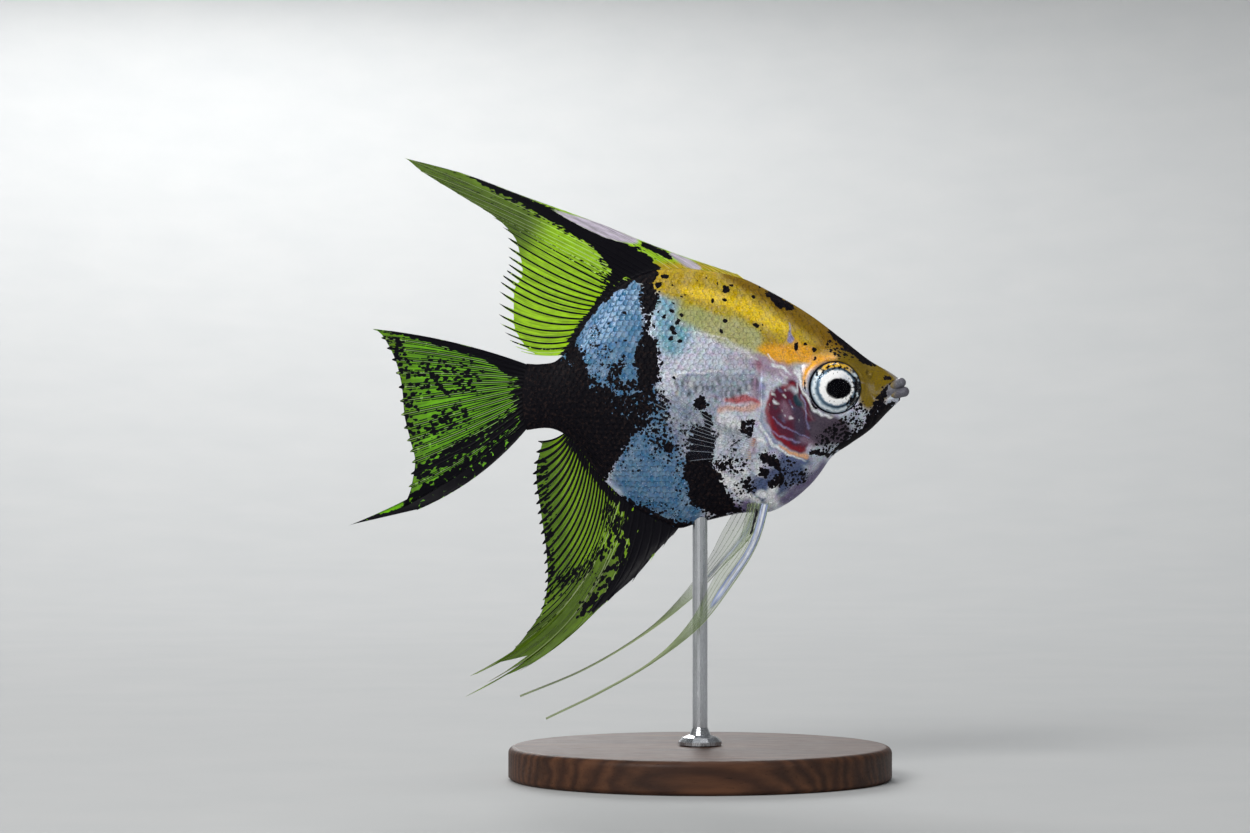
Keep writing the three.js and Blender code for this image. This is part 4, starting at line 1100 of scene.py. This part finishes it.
def paint_dorsal(ray, t, back, up, along):
    coats = [
        (STREAMER, 4.0, [[(62, 28, 3), (54, 24, 3), (47, 20, 3)]]),
        (GOLD, 1.2, [[(30.5, 14.8, 0.6), (25, 15.0, 0.5), (20, 13.6, 0.4)]]),
        (PINK_WHITE, 0.3, [[(42.4, 21.6, 0.12), (40.6, 20.8, 0.4), (38, 19.8, 0.7), (36, 19.0, 0.8), (34.4, 18.4, 0.6),
                            (32.8, 18.0, 0.35)], [(28.4, 16.4, 0.25), (26.4, 15.3, 0.5), (25.2, 14.7, 0.3)]]),
    ]
    blacks = [
        (0.3, 2, [[(52.6, 25.7, 0.15), (50.9, 25.0, 0.3), (46.7, 23.1, 0.5), (44.2, 21.8, 0.7), (41.6, 20.6, 0.85),
                   (40, 19.7, 1.05), (37, 18.2, 1.25), (35.4, 16.8, 1.6), (34.4, 15.8, 1.9), (32.2, 14.8, 1.8), (30.6, 14.4, 0.9)]]),
        (0.3, 2, [[(34.6, 14.6, 1.1), (35.4, 13.0, 0.5), (37.5, 10.4, 0.2), (40.6, 6.0, 0.3)],
                  [(31.8, 17.6, 0.35), (30.0, 16.8, 0.4), (28.6, 16.0, 0.35)]]),
        (0.7, 0.5, [[(36.4, 15.6, 0.6), (36.4, 13.0, 0.5)], [(50, 24.4, 0.3), (40, 18.9, 0.5)]]),
        (0.5, 0.75, [[(34.2, 17.8, 0.3), (32.4, 16.8, 0.3)]]),
    ]
    rear = smooth(ray, 16.5, 20.5) * (1 - smooth(ray, 32.5, 34))
    white = smooth(stroke_depth(back, up, coats[2][2]), -0.1, 0.2)
    return {
        "tint": painted(MEMBRANE, coats, back, up),
        "ink": np.maximum(inked(blacks, back, up), (1.5 - along / 0.7) * smooth(ray, 15, 18)) - 3 * white,
        "ray_ink": lerp(0.16, 0.95, rear) - 0.25 * rear * smooth(t, 0.75, 1.0),
        "body": 0.84 + 0.14 * white + 0.1 * smooth(along, 3, 0), "ray_body": np.full(np.shape(back), 0.3),
    }


def paint_anal(ray, t, back, up, along):
    coats = [
        (DEEP_MEMBRANE, 2.0, [[(44, -8, 2), (43, -16, 2), (42, -22, 2)]]),
        (STREAMER, 3.0, [[(36, -21, 1.5), (42, -28, 2.5), (50, -34, 3)]]),
    ]
    blacks = [
        (0.5, 2, [[(28.4, -16.6, 1.2), (30.5, -17.5, 2.0), (32, -18.6, 1.8), (32.6, -20.4, 1.5), (34, -22.4, 1.1), (35.8, -24.2, 0.7),
                   (38, -26.4, 0.35)]]),
        (0.6, 1.3, [[(33, -14.8, 0.8), (35.6, -12.6, 0.6), (37.4, -10.4, 0.5), (40.4, -6.4, 0.5)],
                    [(30.4, -16.4, 1.0), (33, -15.6, 1.2), (33.4, -17.2, 0.9)]]),
        (1.2, 0.75, [[(34.6, -17, 1.2), (35.8, -14.5, 1.0)], [(33.6, -19, 1.2), (36.6, -23.4, 0.7), (39.6, -27, 0.4)]]),
        (1.6, 0.6, [[(36, -18.2, 0.6), (39, -21.6, 0.7), (42.8, -23.6, 0.8)],
                    [(44.2, -9, 0.6), (44.4, -13, 1.0), (43.8, -17, 1.1), (43.4, -21, 1.0)]]),
    ]
    rear = smooth(ray, 9.5, 13)
    return {
        "tint": painted(ANAL_GREEN, coats, back, up),
        "ink": np.maximum(inked(blacks, back, up), (1.6 - along / 1.6) * (1 - smooth(ray, 9, 13)) - 0.2),
        "ray_ink": lerp(0.12, 0.95, rear) - 0.3 * rear * smooth(t, 0.85, 1.0) * smooth(ray, 24, 12),
        "body": 0.84 + 0.1 * smooth(along, 3, 0) + 0 * ray, "ray_body": np.full(np.shape(back), 0.3),
    }


def paint_caudal(ray, t, back, up, along):
    coats = [(DEEP_MEMBRANE, 4.0, [[(62, 6, 1.5), (61, -10, 2.5)]])]
    blacks = [
        (0.4, 2, [[(45.6, 3.0, 0.8), (51.7, 4.6, 0.6), (58.8, 6.5, 0.45), (62.4, 7.3, 0.2)],
                  [(45.4, 2.0, 1.2), (47.6, 2.6, 0.8), (50, 3.6, 0.6)]]),
        (0.6, 1.0, [[(45.4, -4.4, 1.0), (50, -7.8, 1.1), (55, -11.0, 1.3), (59.4, -13.4, 1.1)]]),
        (0.5, 2, [[(59.4, -14.0, 0.6), (62.5, -15.0, 0.5), (68, -16.6, 0.6)]]),
        (0.9, 0.9, [[(46, -2.5, 1.0), (50, -5.2, 1.0), (55, -7.8, 1.0), (59, -10.0, 0.8)]]),
        (2.2, 0.55, [[(61.6, 5, 1.2), (60.8, 0, 1.2), (60, -6, 1.2)], [(53, 1.5, 1.6), (57, 1.6, 1.8)], [(54, -3, 1), (57, -4, 1)]]),
    ]
    return {
        "tint": painted(CAUDAL_GREEN, coats, back, up), "ink": np.maximum(inked(blacks, back, up), 1.5 - along / 1.5),
        "ray_ink": 1.05 - 0.45 * t + 0 * ray, "body": 0.84 + 0.1 * smooth(along, 3, 0) + 0 * ray,
        "ray_body": np.full(np.shape(back), 0.3),
    }


def paint_pectoral(ray, t, back, up, along):
    coats = [
        (PEACH, 0.8, [[(18.4, -5.8, 0.6), (19.0, -8.2, 0.6)]]),
        (BLUSH, 0.3, [[(18.5, -5.6, 0.25), (18.6, -8.4, 0.25)]]),
    ]
    edges = np.maximum(bump(ray, 1.0, 2.2), 0.5 * bump(ray, 9.6, 1.0))
    return {
        "tint": painted(PECTORAL_GREY, coats, back, up), "ink": np.full(np.shape(back), -2.0),
        "ray_ink": np.full(np.shape(back), -1.0), "body": 0.01 + 0.3 * smooth(along, 0.9, 0.2),
        "ray_body": (0.34 + 0.42 * edges) * (1 - 0.3 * t),
    }


def blade_fin(name, hand, front_points, rear_points, material, rows=150, columns=60):
    """A belly fin: a blade of seven rays that thins into a long trailing thread."""
    def edge(points, axis):
        return through([(k / (len(points) - 1), p[axis]) for k, p in enumerate(points)])
    t = np.linspace(0, 1, rows + 1)[:, None] * np.ones((1, columns + 1))
    across = np.ones((rows + 1, 1)) * np.linspace(0, 1, columns + 1)[None]
    ends = [[edge(points, axis)(t) for axis in (0, 1)] for points in (front_points, rear_points)]
    back = lerp(ends[0][0], ends[1][0], across)
    up = lerp(ends[0][1], ends[1][1], across)
    wide = np.hypot(ends[0][0] - ends[1][0], ends[0][1] - ends[1][1])
    slim = smooth(t, 0.3, 0.75) * 0.55
    back = lerp(back, (ends[0][0] + ends[1][0]) / 2, slim)
    up = lerp(up, (ends[0][1] + ends[1][1]) / 2, slim)
    side = 0.9 + 3.4 * t ** 0.7 + 0.25 * np.sin(np.pi * across) * (1 - t)
    rays = across * 6
    share = np.abs(rays - np.round(rays))
    line = share * wide * (1 - slim) / 6
    half = 0.035 + 0.05 * (1 - 0.6 * t) * np.exp(-(line / 0.07) ** 2) * np.where(rays < 0.9, 2.2, 1.0)
    half += 0.12 * np.exp(-t / 0.03)
    middle = np.stack([back, hand * side, up], -1)
    front, rear = middle.copy(), middle.copy()
    front[..., 1] -= half
    rear[..., 1] += half
    places, faces = sandwich(front, rear)
    along = t * 38
    shown = 1.0 if hand == RIGHT else 0.35
    streak = 0.2 + 0.25 * t
    bright = shown * bump(across, streak, 0.16) * (1 - smooth(t, 0.38, 0.46))
    tint = lerp(np.array(PELVIC_GREEN), np.array(PELVIC_BLUE), smooth(bright, 0.1, 0.5)[..., None])
    tint = lerp(tint, np.array(WHITE), (0.9 * bump(across, streak, 0.07) * shown * (1 - smooth(t, 0.36, 0.44)))[..., None])
    ink = -1.4 + 2.6 * shown * bump(across, streak + 0.3, 0.1) * smooth(t, 0.03, 0.07) * (1 - smooth(t, 0.12, 0.2))
    data = {
        "tint": tint, "ink": ink, "line": line, "ray_ink": 0.3 * (1 - t), "ray_body": 0.4 * (1 - t),
        "body": np.clip(0.16 + 0.8 * smooth(bright, 0.1, 0.6) + 0.2 * smooth(t, 0.06, 0.0) + 0.5 * smooth(t, 0.4, 0.6)
                        + 0.45 * bump(rays, 0.0, 0.3), 0, 0.96),
        "lie": np.stack([rays, along, line], -1),
    }
    data = {key: np.concatenate([v.reshape(-1, *v.shape[2:])] * 2) for key, v in data.items()}
    return piece(name, places, faces, material, "clear_fin", data)


PELVIC_RIGHT = dict(
    hand=RIGHT,
    front_points=[(16.3, -11.9), (18.0, -18.0), (20.9, -22.9), (25.1, -28.5), (30.5, -32.6), (36.8, -36.2), (43.3, -39.3)],
    rear_points=[(19.0, -12.2), (20.4, -18.0), (23.2, -22.0), (26.4, -27.4), (30.9, -32.0), (37.0, -35.6), (43.5, -38.8)],
)
PELVIC_LEFT = dict(
    hand=LEFT,
    front_points=[(16.5, -11.9), (18.6, -17.2), (22.0, -21.0), (26.4, -25.7), (31.8, -29.8), (38.8, -33.9), (46.6, -37.2)],
    rear_points=[(19.6, -12.2), (22.2, -16.8), (24.2, -20.6), (27.6, -25.0), (32.1, -29.2), (39.0, -33.4), (46.8, -36.7)],
)


def make_fins():
    dorsal_look = fin_material("dorsal_membrane", 0.0, 0.13)
    anal_look = fin_material("anal_membrane", 0.02, 0.19)
    caudal_look = fin_material("caudal_membrane", 0.1, 0.075, second=0.36)
    clear = fin_material("clear_membrane", 0.1, 0.03, ray_half=0.05)
    free = lambda least, most, start, over: lambda ray: lerp(least, most, np.clip((ray - start) / over, 0, 1))
    dorsal = RayFin(DORSAL, lambda ray, t, up: 0.9 * t * t + 0.1 * np.sin(2.1 * ray) * t)
    anal = RayFin(ANAL, lambda ray, t, up: -0.8 * t * t + 0.1 * np.sin(1.9 * ray) * t)
    caudal = RayFin(CAUDAL, lambda ray, t, up: -1.2 * t * t + 0.12 * np.sin(2.3 * ray) * t)
    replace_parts(fin_mesh("dorsal_fin_rays", dorsal, paint_dorsal, dorsal_look, "fin", free(0.3, 2.0, 17, 6), soft_from=13), "dorsal_fin")
    streamer = lambda ray: free(0.3, 0.5, 12, 6)(ray) + 6.0 * bump(ray, 7.6, 1.6) + 0.7 * bump(ray, 2.5, 2.5)
    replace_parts(fin_mesh("anal_fin_rays", anal, paint_anal, anal_look, "fin", streamer, soft_from=6), "anal_fin")
    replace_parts(fin_mesh("caudal_fin_rays", caudal, paint_caudal, caudal_look, "fin", free(0.4, 0.4, 0, 1), per_ray=20,
                         stout=1.15, branch_gap=0.26), "caudal_fin")
    for side, hand in (("right", RIGHT), ("left", LEFT)):
        def lean(ray, t, up, hand=hand):
            base = flank(np.full_like(up, 18.8), section_place(18.8, up))[0]
            return hand * (base * (1 - t) + lerp(4.4, 6.4, t) * t + 0.3 * t * (1 - t))
        made = fin_mesh(f"pectoral_rays_{side}", RayFin(PECTORAL, lean), paint_pectoral, clear, "clear_fin",
                        free(0.25, 0.25, 0, 1), per_ray=12, rows=50, thin=0.025, ridge=0.05, root_half=0.3)
        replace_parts(made, f"pectoral_fin_{side}")
        pelvic = PELVIC_RIGHT if hand == RIGHT else PELVIC_LEFT
        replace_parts(blade_fin(f"pelvic_rays_{side}", material=clear, **pelvic), f"pelvic_fin_{side}")


# ------------------------------------------------------------------ eyes

def iris_colour(forward, up):
    """Colour and shine of the eye's face at a place from its centre, in mm."""
    reach = np.hypot(forward, up)
    turn = np.degrees(np.arctan2(up, forward))
    pupil = np.hypot((forward - 0.2 - 0.04 * np.maximum(forward, 0)) / 1.52, (up + 0.12) / 1.24)
    colour = np.empty(np.shape(reach) + (3,))
    colour[...] = srgb(140, 168, 186)
    shine = np.full(np.shape(reach), 0.45)

    def lay(tone, cover, metal):
        nonlocal colour, shine
        colour = lerp(colour, np.array(tone), cover[..., None])
        shine = lerp(shine, metal, cover)

    ripple = 0.05 * np.sin(np.radians(turn) * 9) + 0.04 * np.sin(np.radians(turn) * 23 + 1)
    lay(srgb(110, 140, 164), bump(reach, 2.25, 0.3), 0.3)
    lay(srgb(236, 246, 252), bump(reach + ripple, 2.74, 0.19), 0.1)
    lay((1.0, 1.0, 1.0), smooth(reach + 0.6 * ripple, 2.14, 2.02), 0.0)
    lay(srgb(170, 182, 200), 0.6 * smooth(reach, 2.1, 1.7) * bump(turn, 30, 34), 0.1)
    arcs = np.maximum(bump(turn, -80, 45), bump(turn, 50, 50))
    lay(srgb(20, 26, 40), bump(reach, 2.34, 0.13) * (0.5 + 0.5 * arcs), 0.0)
    upper = bump(turn, 90, 46) * smooth(reach, 2.35, 2.5)
    lay(srgb(240, 190, 60), smooth(upper, 0.2, 0.7), 0.2)
    spin = np.radians(turn)
    blots = np.sin(spin * 21 + 4 * reach) + np.sin(reach * 12 + spin * 7) + 0.8 * np.sin(spin * 37 - 9 * reach)
    crown = bump(turn, 96, 62) * smooth(reach, 2.0, 2.35) * smooth(reach, 3.3, 2.9)
    lay(INK, smooth(blots, 0.3, 0.6) * smooth(crown, 0.25, 0.5), 0.0)
    front = np.maximum(bump(turn, 4, 26), 0.9 * bump(turn, -38, 22)) * bump(reach, 2.6, 0.6)
    lay(INK, smooth(front + 0.16 * blots, 0.34, 0.44), 0.0)
    # Painted shade: a dark outer ring from 2.95 mm out, in the groove where the eyeball sinks into its socket.
    lay(srgb(60, 72, 90), smooth(reach, 2.95, 3.0), 0.0)
    lay(srgb(10, 11, 16), smooth(reach, 3.0, 3.06), 0.0)
    lay((0.001, 0.001, 0.002), smooth(pupil, 1.03, 0.96), 0.0)
    return colour, shine, pupil


def make_eye(side, hand, iris, cornea):
    rings, spokes = 72, 128
    turn = np.linspace(0, 2 * np.pi, spokes, endpoint=False)[None]
    depth_angle = np.linspace(0, np.pi, rings + 1)[1:-1, None]
    reach = EYE["radius"] * np.sin(depth_angle) * np.ones_like(turn)
    forward, up = reach * np.cos(turn), reach * np.sin(turn)
    colour, shine, pupil = iris_colour(forward, up)
    out = EYE["depth"] * np.cos(depth_angle) * np.ones_like(turn)
    face = out > 0
    out = out - np.where(face, 0.16 * smooth(pupil, 1.04, 0.94) * smooth(pupil, 0.0, 0.9), 0)
    out = out - np.where(face, 0.05 * bump(reach, 2.33, 0.12) + 0.1 * smooth(reach, 2.9, 3.1), 0)
    # Painted shade: the back half, hidden in the socket, is dark.
    colour[~face] = srgb(30, 30, 36)
    shine[~face] = 0

    def placed(forward, up, out):
        ahead, outward = np.cos(EYE["yaw"]), np.sin(EYE["yaw"])
        back = EYE["back"] - forward * ahead - out * outward
        sideways = EYE["side"] - forward * outward + out * ahead
        return np.stack([back, hand * sideways, EYE["up"] + up], -1)

    def closed(grid, first, last):
        rows = len(grid)
        places = np.concatenate([grid.reshape(-1, 3), first[None], last[None]])
        j = np.arange(spokes)
        k = (j + 1) % spokes
        a, b = rows * spokes, rows * spokes + 1
        base = (rows - 1) * spokes
        caps = [np.stack([k, j, np.full(spokes, a), np.full(spokes, a)], 1),
                np.stack([base + j, base + k, np.full(spokes, b), np.full(spokes, b)], 1)]
        return places, np.concatenate([grid_faces(rows, spokes, wrap=True), *caps])

    poles = [placed(0.0, 0.0, EYE["depth"]), placed(0.0, 0.0, -EYE["depth"])]
    places, faces = closed(placed(forward, up, out), *poles)
    data = {
        "tint": np.concatenate([colour.reshape(-1, 3), [[0.002, 0.002, 0.003]], [srgb(30, 30, 36)]]),
        "silver": np.concatenate([shine.ravel(), [0, 0]]),
    }
    ball = piece(f"eyeball_{side}", places, faces, iris, "eye", data)
    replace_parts(ball, f"eye_{side}")

    bow = np.linspace(0.02, 0.5 * np.pi, 30)[:, None]
    reach = 3.1 * np.sin(bow) * np.ones_like(turn)
    dome = 0.62 + 1.33 * np.cos(bow) * np.ones_like(turn)
    lower = dome - 0.06
    outer = placed(reach * np.cos(turn), reach * np.sin(turn), dome)
    inner = placed(reach * np.cos(turn) * 0.98, reach * np.sin(turn) * 0.98, lower)
    grid = np.concatenate([outer, inner[::-1]])
    places, faces = closed(grid, placed(0.0, 0.0, 1.95), placed(0.0, 0.0, 1.89))
    piece(f"cornea_{side}", places, faces, cornea, "eye")


# ------------------------------------------------------------------ stand

def turned(name, profile, material, slot, around=128):
    """A piece turned round the Z axis from (radius, height) points in mm, from axis to axis."""
    profile = np.array(profile, float)
    turn = np.linspace(0, 2 * np.pi, around, endpoint=False)
    inner = profile[1:-1]
    grid = np.stack([inner[:, :1] * np.cos(turn), inner[:, :1] * np.sin(turn), inner[:, 1:] * np.ones_like(turn)], -1) * MM
    rows = len(inner)
    ends = np.array([[0, 0, profile[0, 1]], [0, 0, profile[-1, 1]]]) * MM
    places = np.concatenate([grid.reshape(-1, 3), ends])
    j = np.arange(around)
    k = (j + 1) % around
    a, b = rows * around, rows * around + 1
    base = (rows - 1) * around
    caps = [np.stack([k, j, np.full(around, a), np.full(around, a)], 1),
            np.stack([base + j, base + k, np.full(around, b), np.full(around, b)], 1)]
    faces = np.concatenate([grid_faces(rows, around, wrap=True), *caps])
    return piece(name, places, faces, material, slot, is_world=True)


def make_stand():
    radius, height, bevel = 23.0, 4.0, 0.8
    curve = [(radius - bevel * (1 - math.cos(a)), height - bevel * (1 - math.sin(a)))
             for a in np.linspace(0, math.pi / 2, 9)]
    profile = [(0, 0), (radius - 0.6, 0), (radius - 0.4, 0.0), (radius, 0.4), (radius, 0.6), (radius, height - bevel - 0.2),
               *curve, (radius - bevel - 0.2, height), (4, height), (0, height)]
    base = turned("stand_disc", profile, wood_material(), "stand_wood")
    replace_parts(base, "stand_base")
    steel = steel_material()
    for slot in frame["nodes"]["stand_rod"].material_slots:
        slot.material = steel


# ------------------------------------------------------------------ room, lights, camera

def make_stage():
    """A pale floor that sweeps up into a wall all round."""
    flat, out, rise, around = 0.35, 1.3, 1.5, 96
    profile = [(0.01, 0.0), (0.15, 0.0), (flat, 0.0)]
    profile += [(flat + out * math.sin(a), rise * (1 - math.cos(a))) for a in np.linspace(0.06, math.pi / 2, 28)]
    profile = np.array(profile)
    turn = np.linspace(0, 2 * np.pi, around, endpoint=False)
    grid = np.stack([profile[:, :1] * np.cos(turn), profile[:, :1] * np.sin(turn), profile[:, 1:] * np.ones_like(turn)], -1)
    places = np.concatenate([grid.reshape(-1, 3), [[0, 0, 0]]])
    centre = len(places) - 1
    faces = grid_faces(len(profile), around, wrap=True).tolist()
    faces += [[a, (a + 1) % around, centre] for a in range(around)]
    mesh = bpy.data.meshes.new("floor")
    mesh.from_pydata(places.tolist(), [], faces)
    mesh.shade_smooth()
    mesh.materials.append(floor_material())
    floor = bpy.data.objects.new("floor", mesh)
    bpy.context.scene.collection.objects.link(floor)


def area_light(name, place, aim, size, power, colour=(1, 1, 1)):
    light = bpy.data.lights.new(name, "AREA")
    light.shape = "DISK"
    light.size = size
    light.energy = power
    light.color = colour
    lamp = bpy.data.objects.new(name, light)
    lamp.location = place
    direction = Vector(aim) - Vector(place)
    lamp.rotation_euler = direction.to_track_quat("-Z", "Y").to_euler()
    bpy.context.scene.collection.objects.link(lamp)


def make_lights():
    aim = (-0.008, 0, 0.045)
    area_light("key", (-0.5, -0.8, 0.62), aim, 0.5, 8.5, (1.0, 0.985, 0.96))
    area_light("fill", (0.75, -0.7, 0.2), aim, 0.5, 3.0, (0.95, 0.98, 1.0))
    area_light("rim", (-0.15, 0.85, 0.5), aim, 0.5, 5.0)
    area_light("top", (0.05, 0.1, 1.1), aim, 0.6, 3.0)
    world_light = bpy.data.worlds.new("studio")
    world_light.use_nodes = True
    background = world_light.node_tree.nodes["Background"]
    background.inputs["Color"].default_value = (0.9, 0.95, 1.0, 1)
    background.inputs["Strength"].default_value = 0.2
    bpy.context.scene.world = world_light


def make_camera():
    """Level with the fish, on its right side, framed as in the photograph."""
    centre_x, centre_z, distance = -9.0, 43.5, 500.0
    data = bpy.data.cameras.new("camera")
    data.lens = 120
    data.sensor_width = 36
    data.clip_start = 0.01
    camera = bpy.data.objects.new("camera", data)
    camera.location = (centre_x * MM, -distance * MM, centre_z * MM)
    camera.rotation_euler = (math.radians(90), 0, 0)
    bpy.context.scene.collection.objects.link(camera)
    bpy.context.scene.camera = camera


# ------------------------------------------------------------------ the whole model

FLESH = ("head", "trunk", "tail", "upper_jaw", "lower_jaw", "gill_cover_right", "gill_cover_left")

make_camera()
skin = skin_material()
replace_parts(whole_skin(skin), *FLESH)
scales("scales_right", RIGHT, skin)
scales("scales_left", LEFT, skin)
make_fins()
iris, cornea = eye_material(), cornea_material()
make_eye("right", RIGHT, iris, cornea)
make_eye("left", LEFT, iris, cornea)
make_stand()
make_stage()
make_lights()
bpy.context.scene.view_settings.view_transform = "Standard"
